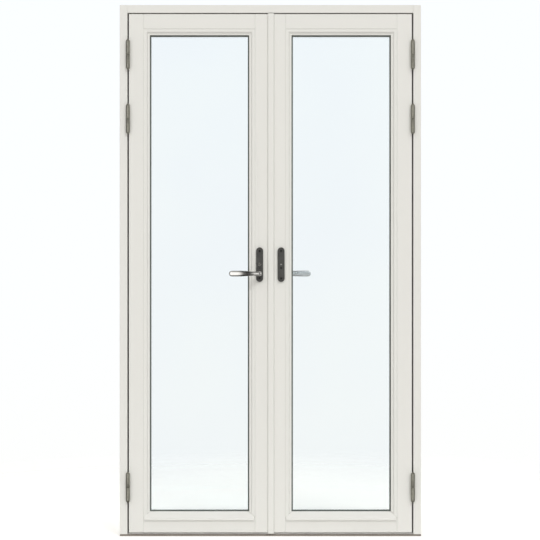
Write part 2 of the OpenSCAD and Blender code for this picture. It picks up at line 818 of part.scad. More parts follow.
// Lever on the outer face, pointing to the hinge side
module lever() {
  face_y = leaf_y0 - plate_t;
  grip_y = face_y - grip_off;
  straight = lever_len - grip_h / 2;
  difference() {
    union() {
      rod_along_y(neck_r, [spindle_x, grip_y, spindle_z], leaf_y0 - slide_clear - grip_y);
      rod_along_y(boss_r, [spindle_x, grip_y - grip_t / 2, spindle_z], grip_t);
      rod_along_y(boss_r, [spindle_x, face_y - slide_clear - collar_t, spindle_z], collar_t);
      intersection() {
        translate([spindle_x, grip_y, spindle_z - grip_h]) linear_extrude(2 * grip_h)
          polygon(concat(
            [for (i = [0:lever_steps]) let (t = lever_t(i))
              [-t * lever_len, grip_line(t) - grip_half_t(t)]],
            [for (i = [lever_steps:-1:0]) let (t = lever_t(i))
              [-t * lever_len, grip_line(t) + grip_half_t(t)]]
          ));
        translate([spindle_x, grip_y + 2 * grip_t, spindle_z]) rotate([90, 0, 0])
          linear_extrude(4 * grip_t) union() {
            polygon(concat(
              [for (i = [0:lever_steps]) let (t = lever_t(i)) [-t * straight, grip_half_h(t)]],
              [for (i = [lever_steps:-1:0]) let (t = lever_t(i)) [-t * straight, -grip_half_h(t)]]
            ));
            translate([-straight, 0]) circle(r = grip_h / 2, $fn = small_fn);
          }
      }
    }
    spindle_square(grip_y + grip_t / 2, leaf_y1, run_clear);
  }
}

module outer_lever(side) {
  color(bright_metal) on_side(side) lever();
}

module inner_lever(side) {
  color(bright_metal) on_side(side) on_inner_face() lever();
}

// Square bar on the spindle's axis between two depths
module spindle_square(y_from, y_to, extra = 0) {
  half = spindle_w / 2 + extra;
  box([spindle_x - half, y_from, spindle_z - half], [spindle_x + half, y_to, spindle_z + half]);
}

// The bar ends inside each lever's boss
module spindle(side) {
  lever_in = plate_t + grip_off - grip_t / 2 - slide_clear;
  from = side == "left" ? leaf_y0 - lever_in : rod_y - hub_len / 2;
  color(zinc_metal) on_side(side) spindle_square(from, leaf_y1 + lever_in);
}

// Half the angle of a pinion tooth at a radius, from the involute of the base circle
function involute(a) = tan(a) * 180 / PI - a;
function tooth_half_angle(r) = 90 / gear_teeth - gear_backlash / pitch_r * 180 / PI
  + involute(gear_pressure) - involute(acos(min(1, base_r / r)));
function polar(r, a) = [r * cos(a), r * sin(a)];

module pinion_outline() {
  tip_r = pitch_r + tooth_out;
  root_r = pitch_r - tooth_in;
  polygon([
    for (k = [0:gear_teeth - 1]) let (mid = k * 360 / gear_teeth)
      each concat(
        [polar(root_r, mid - tooth_half_angle(base_r))],
        [for (i = [0:flank_steps]) let (r = base_r + (tip_r - base_r) * i / flank_steps)
          polar(r, mid - tooth_half_angle(r))],
        [for (i = [flank_steps:-1:0]) let (r = base_r + (tip_r - base_r) * i / flank_steps)
          polar(r, mid + tooth_half_angle(r))],
        [polar(root_r, mid + tooth_half_angle(base_r))]
      )
  ]);
}

module pinion(side) {
  color(zinc_metal) on_side(side) difference() {
    union() {
      translate([spindle_x, rod_y + rod_w / 2, spindle_z]) rotate([90, 0, 0])
        linear_extrude(rod_w) pinion_outline();
      rod_along_y(hub_r, [spindle_x, rod_y - hub_len / 2, spindle_z], hub_len);
    }
    spindle_square(rod_y - hub_len, rod_y + hub_len, run_clear);
  }
}

// Rack outline beside the pitch line: teeth point to -X, spaces lie at whole pitches
module rack_outline(z_from, z_to) {
  half = tooth_pitch / 4 - gear_backlash;
  slope = tan(gear_pressure);
  difference() {
    union() {
      translate([tooth_in, z_from]) square([rack_back_t, z_to - z_from]);
      for (k = [floor(z_from / tooth_pitch):ceil(z_to / tooth_pitch)])
        translate([0, (k + 0.5) * tooth_pitch])
          polygon([
            [tooth_in + 0.01, -half - tooth_in * slope], [-tooth_out, -half + tooth_out * slope],
            [-tooth_out, half - tooth_out * slope], [tooth_in + 0.01, half + tooth_in * slope]
          ]);
    }
    translate([-gear_teeth, z_to]) square([2 * gear_teeth, gear_teeth]);
    translate([-gear_teeth, z_from - gear_teeth]) square([2 * gear_teeth, gear_teeth]);
  }
}

// Square rod with a round bolt at its end, from one height to another
module bolt_rod(z_near, z_end) {
  out = z_end > z_near ? 1 : -1;
  z_bolt = z_end - out * bolt_len;
  box([rod_x - rod_w / 2, rod_y - rod_w / 2, min(z_near, z_bolt)],
      [rod_x + rod_w / 2, rod_y + rod_w / 2, max(z_near, z_bolt)]);
  translate([rod_x, rod_y, min(z_bolt, z_end)]) cylinder(r = bolt_r, h = bolt_len, $fn = round_fn);
}

// The upper rod's rack lies on the edge side of the pinion and rises when the lever turns down
module upper_rod(side) {
  arm_z = spindle_z + upper_arm_z;
  color(zinc_metal) on_side(side) union() {
    translate([spindle_x + pitch_r, rod_y + rod_w / 2, spindle_z]) rotate([90, 0, 0])
      linear_extrude(rod_w) rack_outline(-throw - rack_reach, upper_arm_z + cut);
    box([spindle_x + rack_root, rod_y - rod_w / 2, arm_z],
        [rod_x + rod_w / 2, rod_y + rod_w / 2, arm_z + arm_h]);
    bolt_rod(arm_z, leaf_z1 - bolt_back);
  }
}

// The lower rod's rack lies on the far side of the pinion and drops when the lever turns down
module lower_rod(side) {
  arm_z = spindle_z + lower_arm_z;
  color(zinc_metal) on_side(side) union() {
    translate([spindle_x - pitch_r, rod_y + rod_w / 2, spindle_z]) rotate([90, 0, 0])
      linear_extrude(rod_w) mirror([1, 0]) rack_outline(-rack_reach, throw + rack_reach);
    box([spindle_x - rack_outer, rod_y - rod_w / 2, arm_z],
        [spindle_x - rack_root, rod_y + rod_w / 2, spindle_z - rack_reach + cut]);
    box([spindle_x - rack_outer, rod_y - rod_w / 2, arm_z],
        [rod_x + rod_w / 2, rod_y + rod_w / 2, arm_z + arm_h]);
    bolt_rod(arm_z + arm_h, leaf_z0 + bolt_back);
  }
}

module gear_case(side) {
  z_lo = spindle_z + case_lo - case_wall;
  z_hi = spindle_z + case_hi + case_wall;
  color(zinc_metal) on_side(side) difference() {
    box([case_x0, rod_y - case_w / 2, z_lo], [case_x1, rod_y + case_w / 2, z_hi]);
    box([case_x0 + case_wall, rod_y - case_in_w / 2, z_lo + case_wall],
        [case_x1 + cut, rod_y + case_in_w / 2, z_hi - case_wall]);
    box([channel_x0, rod_y - case_in_w / 2, z_lo - cut],
        [case_x1 + cut, rod_y + case_in_w / 2, z_hi + cut]);
    rod_along_y(hub_r + run_clear, [spindle_x, rod_y - case_w, spindle_z], 2 * case_w);
  }
}

// Strip along the bevelled meeting edge that covers the rods; it can be cut proud of the edge
module faceplate_block(proud = 0) {
  translate([edge_x, rod_y, leaf_z0 + (proud > 0 ? -cut : slide_clear)]) rotate([0, 0, bevel_angle])
    translate([-faceplate_t, -faceplate_w / 2, 0])
      cube([faceplate_t + proud, faceplate_w,
            leaf_z1 - leaf_z0 + (proud > 0 ? 2 * cut : -2 * slide_clear)]);
}

module faceplate(side) {
  color(bright_metal) on_side(side) faceplate_block();
}

// Flat strip with chamfered front edges over the meeting gap, on the leaf that opens first
module astragal(side) {
  front_y = leaf_y0 - astragal_t;
  x_own = astragal_over - astragal_w / 2;
  x_other = astragal_over + astragal_w / 2;
  color(paint) on_side(side)
    translate([0, 0, leaf_z0 - astragal_down])
      linear_extrude(leaf_z1 + astragal_up - leaf_z0 + astragal_down)
        polygon([
          [x_own, leaf_y0], [x_own, front_y + astragal_chamfer],
          [x_own + astragal_chamfer, front_y], [x_other - astragal_chamfer, front_y],
          [x_other, front_y + astragal_chamfer], [x_other, leaf_y0 - astragal_relief],
          [leaf_x1 + slide_clear, leaf_y0 - astragal_relief], [leaf_x1, leaf_y0]
        ]);
}

// Strip behind the meeting gap, on the passive leaf, with room for a seal over the other leaf
strip_z0 = upstand_z + strip_end_gap;
strip_z1 = head_stop_z - strip_end_gap;
strip_edge_x = leaf_x1 - bevel;

module cover_strip(side) {
  color(paint) on_side(side)
    translate([0, 0, strip_z0]) linear_extrude(strip_z1 - strip_z0)
      polygon([
        [-strip_reach, leaf_y1], [-strip_reach, leaf_y1 + strip_t],
        [strip_cover, leaf_y1 + strip_t], [strip_cover, stop_y],
        [strip_edge_x, stop_y], [strip_edge_x, leaf_y1]
      ]);
}

module meeting_seal(side) {
  seal_x = (strip_cover - strip_edge_x) / 2;
  color(dark_rubber) on_side(side)
    box([seal_x - meeting_seal_w / 2, leaf_y1 + slide_clear, strip_z0],
        [seal_x + meeting_seal_w / 2, stop_y, strip_z1]);
}

module key_cylinder(side) {
  z = spindle_z + cylinder_up;
  color(zinc_metal) on_side(side) difference() {
    union() {
      rod_along_y(cylinder_r, [spindle_x, leaf_y0, z], leaf_t);
      rod_along_y(nose_r, [spindle_x, leaf_y0 - plate_t - nose_out, z],
                  leaf_t + 2 * (plate_t + nose_out));
    }
    rod_along_y(plug_r + run_clear, [spindle_x, leaf_y0 - frame_d, z], 3 * frame_d);
  }
}

// The plug turns in the cylinder and carries the thumb turn on the inside
keyway_w = 1.4;
keyway_h = 6;
keyway_d = 6;

module key_plug(side) {
  z = spindle_z + cylinder_up;
  plug_y = leaf_y0 - plate_t - nose_out;
  color(bright_metal) on_side(side) difference() {
    rod_along_y(plug_r, [spindle_x, plug_y, z], turn_y - plug_y);
    box([spindle_x - keyway_w / 2, plug_y - cut, z - keyway_h / 2],
        [spindle_x + keyway_w / 2, plug_y + keyway_d, z + keyway_h / 2]);
  }
}

turn_y = leaf_y1 + plate_t + nose_out + slide_clear;
turn_base_t = 4;
turn_wing_w = 6;
turn_wing_d = 14;

module thumb_turn(side) {
  z = spindle_z + cylinder_up;
  color(bright_metal) on_side(side) union() {
    rod_along_y(turn_r, [spindle_x, turn_y, z], turn_base_t);
    for (k = [-1, 1])
      rod_along_y(turn_wing_w / 2,
                  [spindle_x, turn_y, z + k * (turn_wing_len - turn_wing_w) / 2], turn_wing_d);
    box([spindle_x - turn_wing_w / 2, turn_y, z - (turn_wing_len - turn_wing_w) / 2],
        [spindle_x + turn_wing_w / 2, turn_y + turn_wing_d, z + (turn_wing_len - turn_wing_w) / 2]);
  }
}

jamb("left");  // jamb_left
jamb("right");  // jamb_right
head();
threshold_base();
threshold_plate();
frame_seal();
frame_hinges("left");  // left_frame_hinges
frame_hinges("right");  // right_frame_hinges
hinge_pins();
frame_screws();
bolt_keeps();
hinge_stile("left");  // left_hinge_stile
meeting_stile("left");  // left_meeting_stile
rail("left", true);  // left_top_rail
rail("left", false);  // left_bottom_rail
panes("left");  // left_panes
spacer("left");  // left_spacer
gaskets("left");  // left_gaskets
setting_blocks("left");  // left_setting_blocks
glazing_beads("left");  // left_glazing_beads
drip_bead("left");  // left_drip_bead
leaf_hinges("left");  // left_leaf_hinges
leaf_screws("left");  // left_screws
outer_plate("left");  // left_outer_plate
inner_plate("left");  // left_inner_plate
gear_case("left");  // left_gear_case
faceplate("left");  // left_faceplate
astragal("left");  // left_astragal
key_cylinder("left");  // left_cylinder
outer_lever("left");  // left_outer_lever
inner_lever("left");  // left_inner_lever
spindle("left");  // left_spindle
pinion("left");  // left_pinion
upper_rod("left");  // left_upper_rod
lower_rod("left");  // left_lower_rod
key_plug("left");  // left_key_plug
thumb_turn("left");  // left_thumb_turn
hinge_stile("right");  // right_hinge_stile
meeting_stile("right");  // right_meeting_stile
rail("right", true);  // right_top_rail
rail("right", false);  // right_bottom_rail
panes("right");  // right_panes
spacer("right");  // right_spacer
gaskets("right");  // right_gaskets
setting_blocks("right");  // right_setting_blocks
glazing_beads("right");  // right_glazing_beads
drip_bead("right");  // right_drip_bead
leaf_hinges("right");  // right_leaf_hinges
leaf_screws("right");  // right_screws
outer_plate("right");  // right_outer_plate
inner_plate("right");  // right_inner_plate
gear_case("right");  // right_gear_case
faceplate("right");  // right_faceplate
cover_strip("right");  // right_cover_strip
meeting_seal("right");  // right_meeting_seal
inner_lever("right");  // right_inner_lever
spindle("right");  // right_spindle
pinion("right");  // right_pinion
upper_rod("right");  // right_upper_rod
lower_rod("right");  // right_lower_rod
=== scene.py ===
# %% [markdown]
# # A glazed double door in Blender
# The door's real construction comes ready from its CAD model: jambs, stiles, glass, lock and hinges,
# each piece in its own place. This lesson gives it the looks of the real door. Flat painted timber
# keeps its CAD shape and gets eased edges, and the pieces that a hand or an eye meets first, such as
# the levers, hinges and screws, are modelled again with finer shapes.

import math

import bpy
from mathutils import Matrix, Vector


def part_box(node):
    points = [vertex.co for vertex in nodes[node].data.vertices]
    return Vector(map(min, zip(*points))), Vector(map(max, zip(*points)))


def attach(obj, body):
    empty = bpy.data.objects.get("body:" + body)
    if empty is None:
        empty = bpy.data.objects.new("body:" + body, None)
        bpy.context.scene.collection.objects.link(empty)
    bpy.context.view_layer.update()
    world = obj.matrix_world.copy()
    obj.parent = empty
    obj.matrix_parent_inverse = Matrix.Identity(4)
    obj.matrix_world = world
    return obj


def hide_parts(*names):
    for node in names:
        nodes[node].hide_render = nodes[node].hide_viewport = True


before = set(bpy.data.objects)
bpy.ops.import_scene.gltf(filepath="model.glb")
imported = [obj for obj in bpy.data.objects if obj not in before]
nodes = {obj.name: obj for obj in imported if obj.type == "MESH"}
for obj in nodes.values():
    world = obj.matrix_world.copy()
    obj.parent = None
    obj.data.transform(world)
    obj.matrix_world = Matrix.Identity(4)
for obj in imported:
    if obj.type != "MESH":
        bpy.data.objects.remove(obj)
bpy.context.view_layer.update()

# %% [markdown]
# ## The camera
# The door is seen straight on from outside, from about six metres away and from half of its height.
# A long lens gives that view. The frame's 2.08 m fill nearly the whole height of a square picture.

# %% Camera straight in front of the door
CAMERA_DISTANCE = 6.0
CAMERA_SIDE, CAMERA_HEIGHT = -0.0014, 1.042
PICTURE_HEIGHT = 2.1145
FRAME_FACE_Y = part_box("jamb_left")[0].y

camera_data = bpy.data.cameras.new("camera")
camera_data.sensor_width = 36
camera_data.lens = 36 * CAMERA_DISTANCE / PICTURE_HEIGHT
camera_data.clip_end = 100
camera = bpy.data.objects.new("camera", camera_data)
camera.location = (CAMERA_SIDE, FRAME_FACE_Y - CAMERA_DISTANCE, CAMERA_HEIGHT)
camera.rotation_euler = (math.radians(90), 0, 0)
bpy.context.scene.collection.objects.link(camera)
bpy.context.scene.camera = camera
print("lens", round(camera_data.lens, 1), "mm")

# %% [markdown]
# ## Light
# The door is lit softly from all sides, as in a white studio. The world gives that soft light. Metal
# shows what it mirrors, so what glossy surfaces see of the studio is darker, with bright panels
# to both sides, and the metal gets its dark and light bands from that.

# %% A studio world
scene = bpy.context.scene
scene.view_settings.view_transform = "Standard"
world = bpy.data.worlds.new("studio")
scene.world = world
world.use_nodes = True
print("world:", world.name, "view:", scene.view_settings.view_transform)

# %% [markdown]
# ### Small tools for nodes
# The world and all finishes are trees of nodes. The same few steps come back in each: a range that is
# spread over another one, two values that are multiplied, two colours that are mixed. A short
# function for each keeps the trees readable as one line per step.

# %% Tools for node trees


def tree_tools(tree):
    """Two short helpers for building a node tree: one adds a node, one links two sockets."""

    def add(kind, **settings):
        node = tree.nodes.new(kind)
        for name, value in settings.items():
            setattr(node, name, value)
        return node

    return add, tree.links.new


def feed(link, socket, value):
    """Links a node's output to the socket, or sets a plain number or colour on it."""
    if isinstance(value, bpy.types.NodeSocket):
        link(value, socket)
    else:
        socket.default_value = value


def map_range(add, link, value, low, high, to_low=0.0, to_high=1.0, kind="LINEAR"):
    node = add("ShaderNodeMapRange", interpolation_type=kind)
    for word, number in (("From Min", low), ("From Max", high), ("To Min", to_low), ("To Max", to_high)):
        node.inputs[word].default_value = number
    link(value, node.inputs["Value"])
    return node.outputs["Result"]


def remap(add, link, value, low, high, to_low=0.0, to_high=1.0):
    """Spreads the values between low and high over another range, softly at both ends."""
    return map_range(add, link, value, low, high, to_low, to_high, "SMOOTHSTEP")


def math_node(add, link, operation, *values):
    node = add("ShaderNodeMath", operation=operation)
    for socket, value in zip(node.inputs, values):
        feed(link, socket, value)
    return node.outputs[0]


def mix_colour(add, link, factor, a, b):
    node = add("ShaderNodeMix", data_type="RGBA")
    for word, value in (("Factor", factor), ("A", a), ("B", b)):
        feed(link, node.inputs[word], value)
    return node.outputs["Result"]


# %% [markdown]
# ### What the metal mirrors
# A polished lever looks dark in its middle and bright beside it, because it mirrors a dark room behind
# the camera and a lit panel to each side. One ramp says how bright the studio is from left to right,
# another from down to up, and the two are multiplied. The ramps' places run from -1 to 1, as the
# parts of a direction do.

# %% Two ramps of brightness: left to right, and down to up
MIRRORED_ACROSS = [
    (-1.0, 0.22), (-0.62, 0.35), (-0.46, 1.35), (-0.25, 1.35), (-0.20, 0.75), (-0.15, 0.16),
    (-0.04, 0.07), (0.05, 0.07), (0.10, 0.30), (0.15, 1.35), (0.42, 1.35), (0.60, 0.35), (1.0, 0.22),
]
MIRRORED_UP = [
    (-1.0, 0.12), (-0.60, 0.14), (-0.28, 1.0), (0.20, 1.0), (0.40, 0.60), (0.75, 0.36), (1.0, 0.25),
]
print("brightest panel:", max(level for _, level in MIRRORED_ACROSS))


def brightness_ramp(add, link, value, stops):
    """Turns a direction's part from -1 to 1 into a brightness, softly from stop to stop."""
    ramp = add("ShaderNodeValToRGB")
    ramp.color_ramp.interpolation = "EASE"
    elements = ramp.color_ramp.elements
    for i, (at, level) in enumerate(stops):
        stop = elements[i] if i < 2 else elements.new((at + 1) / 2)
        stop.position = (at + 1) / 2
        stop.color = (level, level, level, 1)
    link(map_range(add, link, value, -1.0, 1.0), ramp.inputs["Fac"])
    return ramp.outputs["Color"]


# %% [markdown]
# ### Three views of one studio
# The eye and what it sees through glass get a white background, a little cooler above than below.
# Metal gets the ramps. Paint and rubber get a soft warm light that is weaker from the sides, and
# stronger from below, as over a pale floor. The kind of ray decides which of the three it meets.

# %% World: white to the eye, panels to metal, soft light to the rest
SKY_LOW, SKY_HIGH = (1.0, 1.0, 0.985, 1), (0.97, 1.0, 1.03, 1)
MIRRORED_TINT, SOFT_TINT = (1.0, 0.99, 0.965, 1), (1.0, 0.98, 0.94, 1)
AHEAD_LIGHT, SIDE_LIGHT, FLOOR_LIGHT = 0.80, 0.34, 1.40


def build_world():
    tree = world.node_tree
    tree.nodes.clear()
    add, link = tree_tools(tree)
    direction = add("ShaderNodeTexCoord")
    parts = add("ShaderNodeSeparateXYZ")
    link(direction.outputs["Generated"], parts.inputs[0])
    across, up = parts.outputs["X"], parts.outputs["Z"]

    def background(colour, strength):
        node = add("ShaderNodeBackground")
        feed(link, node.inputs["Color"], colour)
        feed(link, node.inputs["Strength"], strength)
        return node.outputs[0]

    def by_ray(kind_of_ray, for_others, for_this_kind):
        """One of two lights; which one, the kind of ray that meets the world decides."""
        node = add("ShaderNodeMixShader")
        for socket, value in zip(node.inputs, (kind_of_ray, for_others, for_this_kind)):
            link(value, socket)
        return node.outputs[0]

    sky = mix_colour(add, link, map_range(add, link, up, -0.20, 0.20), SKY_LOW, SKY_HIGH)
    panels_across = brightness_ramp(add, link, across, MIRRORED_ACROSS)
    panels_up = brightness_ramp(add, link, up, MIRRORED_UP)
    panels = math_node(add, link, "MULTIPLY", panels_across, panels_up)
    sideways = math_node(add, link, "ABSOLUTE", across)
    from_front = remap(add, link, sideways, 0.15, 0.95, AHEAD_LIGHT, SIDE_LIGHT)
    from_below = map_range(add, link, up, -0.50, 0.0, FLOOR_LIGHT, 1.0)
    level = math_node(add, link, "MULTIPLY", from_front, from_below)
    path = add("ShaderNodeLightPath").outputs
    soft, mirrored = background(SOFT_TINT, level), background(MIRRORED_TINT, panels)
    lit = by_ray(path["Is Glossy Ray"], soft, mirrored)
    seen = math_node(add, link, "MAXIMUM", path["Is Camera Ray"], path["Is Transmission Ray"])
    out = add("ShaderNodeOutputWorld")
    link(by_ray(seen, lit, background(sky, 1.0)), out.inputs["Surface"])


build_world()
print("world nodes:", len(world.node_tree.nodes))

# %% [markdown]
# ### Soft lights
# The paint's mouldings only show if one side is brighter than the other. A large diffuser to the
# right gives the key light, a weaker one to the left lifts the shadows, and one above brings out the
# slope of the drip beads. Far lamps with a wide angle do this evenly over the door's whole height.
# They are a little cooler than the world, so that shadows turn warm, and metal doesn't mirror them.

# %% Three wide lamps: left, right and above


def soft_light(name, azimuth, elevation, strength, spread):
    """A far lamp as wide as a big diffuser; azimuth 0 is in front of the door, + to the right."""
    lamp = bpy.data.lights.new(name, "SUN")
    lamp.energy = strength
    lamp.angle = math.radians(spread)
    lamp.color = (0.99, 1.0, 1.0)
    light = bpy.data.objects.new(name, lamp)
    turn, lift = math.radians(azimuth), math.radians(elevation)
    toward = Vector((math.sin(turn) * math.cos(lift), -math.cos(turn) * math.cos(lift), math.sin(lift)))
    light.location = toward * 4
    light.rotation_euler = toward.to_track_quat("Z", "Y").to_euler()
    scene.collection.objects.link(light)
    light.visible_glossy = False


soft_light("left_light", -28, 28, 0.28, 28)
soft_light("right_light", 27, 38, 0.76, 16)
soft_light("top_light", 0, 70, 0.26, 30)

# %% [markdown]
# ## The floor
# A pale round floor carries the door. Its colour fades out towards its rim, so that no edge or
# horizon shows behind the glass. It belongs to the studio and not to the door.

# %% Pale floor
MM = 0.001
FLOOR_RADIUS = 3.0
FLOOR_Z = -0.5 * MM


def clear_selection():
    """Operators act on all that is selected, so each step starts with nothing selected."""
    if bpy.context.mode != "OBJECT":
        bpy.ops.object.mode_set(mode="OBJECT")
    bpy.ops.object.select_all(action="DESELECT")


clear_selection()
bpy.ops.mesh.primitive_circle_add(
    vertices=96, radius=FLOOR_RADIUS, fill_type="NGON", location=(0, 0, FLOOR_Z)
)
floor = bpy.context.object
floor.name = "floor"
floor.visible_glossy = False
print("floor radius", round(floor.dimensions.x / 2, 2), "m")

# %% [markdown]
# ## Shader groups that several finishes share
# Grain under paint, a darkening towards the floor and the lines in brushed metal return in several
# finishes. A node group makes each such effect once, with named inputs, and every material places it with
# its own values. The groups only put out colours, masks and values, while each material keeps its own
# shader.

# %% Helpers for groups


def new_group(name, inputs, outputs):
    """An empty shader group; a tuple as default means a colour, a text a vector, a number a value."""
    group = bpy.data.node_groups.new(name, "ShaderNodeTree")
    for direction, sockets in (("INPUT", inputs), ("OUTPUT", outputs)):
        for socket_name, default in sockets:
            kinds = {tuple: "NodeSocketColor", str: "NodeSocketVector"}
            kind = kinds.get(type(default), "NodeSocketFloat")
            socket = group.interface.new_socket(socket_name, in_out=direction, socket_type=kind)
            if kind != "NodeSocketVector":
                socket.default_value = default
    add, link = tree_tools(group)
    print("group", name, "puts out", [socket_name for socket_name, _ in outputs])
    return group, add, link, add("NodeGroupInput"), add("NodeGroupOutput")


def noise(add, link, vector, scale, detail=3.0, roughness=0.5):
    node = add("ShaderNodeTexNoise")
    node.inputs["Detail"].default_value = detail
    node.inputs["Roughness"].default_value = roughness
    link(vector, node.inputs["Vector"])
    feed(link, node.inputs["Scale"], scale)
    return node.outputs["Fac"]


# %% [markdown]
# ### Grain under paint
# Opaque paint on pine still shows a trace of the wood: long fine ridges along the grain, a slow
# change of tone from board to board, and the fine ripple that a spray gun leaves. A scan of wood
# could give this, but noise that is stretched along one axis does too and fits any length. Stiles
# use it upright and rails lying.

# %% Group: painted grain


def build_painted_grain():
    group, add, link, given, made = new_group(
        "painted_grain",
        [
            ("Vector", ""), ("Colour", (0.8, 0.8, 0.8, 1)), ("Stretch", ""),
            ("Grain", 0.5), ("Tone", 0.02),
        ],
        [("Colour", (0.8, 0.8, 0.8, 1)), ("Roughness", 0.4), ("Height", 0.0)],
    )
    stretched = add("ShaderNodeVectorMath", operation="MULTIPLY")
    link(given.outputs["Vector"], stretched.inputs[0])
    link(given.outputs["Stretch"], stretched.inputs[1])
    ridges = noise(add, link, stretched.outputs[0], 260.0, 4.0, 0.6)
    boards = noise(add, link, stretched.outputs[0], 14.0, 2.0)
    ripple = noise(add, link, given.outputs["Vector"], 520.0, 1.0)
    clouds = noise(add, link, given.outputs["Vector"], 3.0, 3.0)
    tone = math_node(add, link, "SUBTRACT", math_node(add, link, "ADD", boards, clouds), 1.0)
    tone = math_node(add, link, "MULTIPLY", tone, given.outputs["Tone"])
    brightness = add("ShaderNodeBrightContrast")
    link(given.outputs["Colour"], brightness.inputs["Color"])
    link(tone, brightness.inputs["Bright"])
    link(brightness.outputs[0], made.inputs["Colour"])
    link(remap(add, link, ridges, 0.3, 0.7, 0.34, 0.44), made.inputs["Roughness"])
    grain = math_node(add, link, "MULTIPLY", ridges, given.outputs["Grain"])
    fine = math_node(add, link, "MULTIPLY", ripple, 0.35)
    link(math_node(add, link, "ADD", grain, fine), made.inputs["Height"])
    return group


painted_grain = build_painted_grain()

# %% [markdown]
# ### Darker towards the floor
# One group makes a mask that grows towards the floor and breaks up in patches, where the paint turns a
# little darker and browner. The mask stays very weak.

# %% Group: darker towards the floor


def build_low_darkening():
    group, add, link, given, made = new_group(
        "low_darkening", [("Vector", ""), ("Reach", 0.35), ("Amount", 0.3)], [("Mask", 0.0)]
    )
    parts = add("ShaderNodeSeparateXYZ")
    link(given.outputs["Vector"], parts.inputs[0])
    height = math_node(add, link, "DIVIDE", parts.outputs["Z"], given.outputs["Reach"])
    fade = remap(add, link, height, 0.0, 1.0, 1.0, 0.0)
    cloudy = noise(add, link, given.outputs["Vector"], 9.0, 6.0, 0.65)
    patches = remap(add, link, cloudy, 0.30, 0.75)
    mask = math_node(add, link, "MULTIPLY", fade, patches)
    link(math_node(add, link, "MULTIPLY", mask, given.outputs["Amount"]), made.inputs["Mask"])
    return group


low_darkening = build_low_darkening()

# %% [markdown]
# ### Brushed and plated metal
# Metal parts are brushed along one direction or have the soft mottle of zinc plating. The group gives
# fine lines stretched along an axis, a cloudy mottle, and a height made of both for the bump. A
# material mixes more or less of each, so one group serves for levers, hinges and the threshold.

# %% Group: worked metal


def build_worked_metal():
    group, add, link, given, made = new_group(
        "worked_metal",
        [("Vector", ""), ("Stretch", ""), ("Fineness", 900.0), ("Mottle Scale", 60.0)],
        [("Lines", 0.5), ("Mottle", 0.5), ("Height", 0.0)],
    )
    stretched = add("ShaderNodeVectorMath", operation="MULTIPLY")
    link(given.outputs["Vector"], stretched.inputs[0])
    link(given.outputs["Stretch"], stretched.inputs[1])
    lines = noise(add, link, stretched.outputs[0], given.outputs["Fineness"], 3.0, 0.7)
    mottle = noise(add, link, given.outputs["Vector"], given.outputs["Mottle Scale"], 4.0, 0.6)
    link(lines, made.inputs["Lines"])
    link(mottle, made.inputs["Mottle"])
    deep_lines = math_node(add, link, "MULTIPLY", lines, 0.7)
    link(math_node(add, link, "ADD", deep_lines, mottle), made.inputs["Height"])
    return group


worked_metal = build_worked_metal()

# %% [markdown]
# ## Materials
# Each finish on the door gets its own material with a Principled shader in it. A value that is the
# same all over goes on the shader's own socket, and only what changes over the surface comes from
# nodes. The patterns read the piece's own coordinates, so they stay on it when a leaf swings.

# %% Material tools


def new_material(name, metallic=0.0, **plain):
    """A material with one Principled shader; plain values go on its own sockets."""
    material = bpy.data.materials.new(name)
    material.use_nodes = True
    tree = material.node_tree
    tree.nodes.clear()
    add, link = tree_tools(tree)
    shader = add("ShaderNodeBsdfPrincipled")
    out = add("ShaderNodeOutputMaterial")
    link(shader.outputs[0], out.inputs["Surface"])
    shader.inputs["Metallic"].default_value = metallic
    for socket, value in plain.items():
        shader.inputs[socket.replace("_", " ")].default_value = value
    coordinates = add("ShaderNodeTexCoord")
    return material, add, link, shader, coordinates.outputs["Object"]


def place_group(add, link, group, vector, **values):
    """Places a group in a material with this material's own values."""
    node = add("ShaderNodeGroup")
    node.node_tree = group
    link(vector, node.inputs["Vector"])
    for socket, value in values.items():
        node.inputs[socket.replace("_", " ")].default_value = value
    return node


def bump(add, link, height, strength, distance, shader):
    node = add("ShaderNodeBump")
    node.inputs["Strength"].default_value = strength
    node.inputs["Distance"].default_value = distance
    link(height, node.inputs["Height"])
    link(node.outputs[0], shader.inputs["Normal"])


# %% [markdown]
# ### White paint
# Frame and leaves are sprayed with a warm white satin paint. Two versions of one material are enough:
# the grain runs upright on stiles and jambs, and lies on rails, the head and the drip beads. The
# bump is a quarter of a millimetre at most, or the paint would look like rough wood.

# %% White paint, upright and lying
PAINT = (0.81, 0.805, 0.775, 1)
# a darker, browner tone that the paint takes towards the floor, in patches
LOW_TONE = (0.50, 0.46, 0.40, 1)
PAINT_RELIEF = 0.25 * MM


def white_paint(name, stretch):
    material, add, link, shader, place = new_material(name, Specular_IOR_Level=0.42)
    grain = place_group(
        add, link, painted_grain, place, Colour=PAINT, Stretch=stretch, Grain=0.6, Tone=0.016
    )
    toward_floor = place_group(add, link, low_darkening, place, Reach=0.30, Amount=0.03)
    colour_out = mix_colour(add, link, toward_floor.outputs["Mask"], grain.outputs["Colour"], LOW_TONE)
    link(colour_out, shader.inputs["Base Color"])
    link(grain.outputs["Roughness"], shader.inputs["Roughness"])
    bump(add, link, grain.outputs["Height"], 0.22, PAINT_RELIEF, shader)
    return material


paint_upright = white_paint("white_paint_upright", (1.0, 1.0, 0.03))
paint_lying = white_paint("white_paint_lying", (0.03, 1.0, 1.0))
print("paints:", paint_upright.name, paint_lying.name)

# %% [markdown]
# ### Bare and plated metal
# The threshold is anodised aluminium and the spacer bar between the panes is mill finished. Hinges, screws
# and lock parts are zinc plated, and the levers are steel. They differ in colour, in how much is line and
# how much mottle, and in how rough they are, so one function makes them all. The outer lever is polished
# bright. The inner ones are satin, and their darker colour is painted shade for the dimmer inside of the
# door.

# %% A metal from its colour, lines, mottle and roughness
METAL_RELIEF = 0.04 * MM


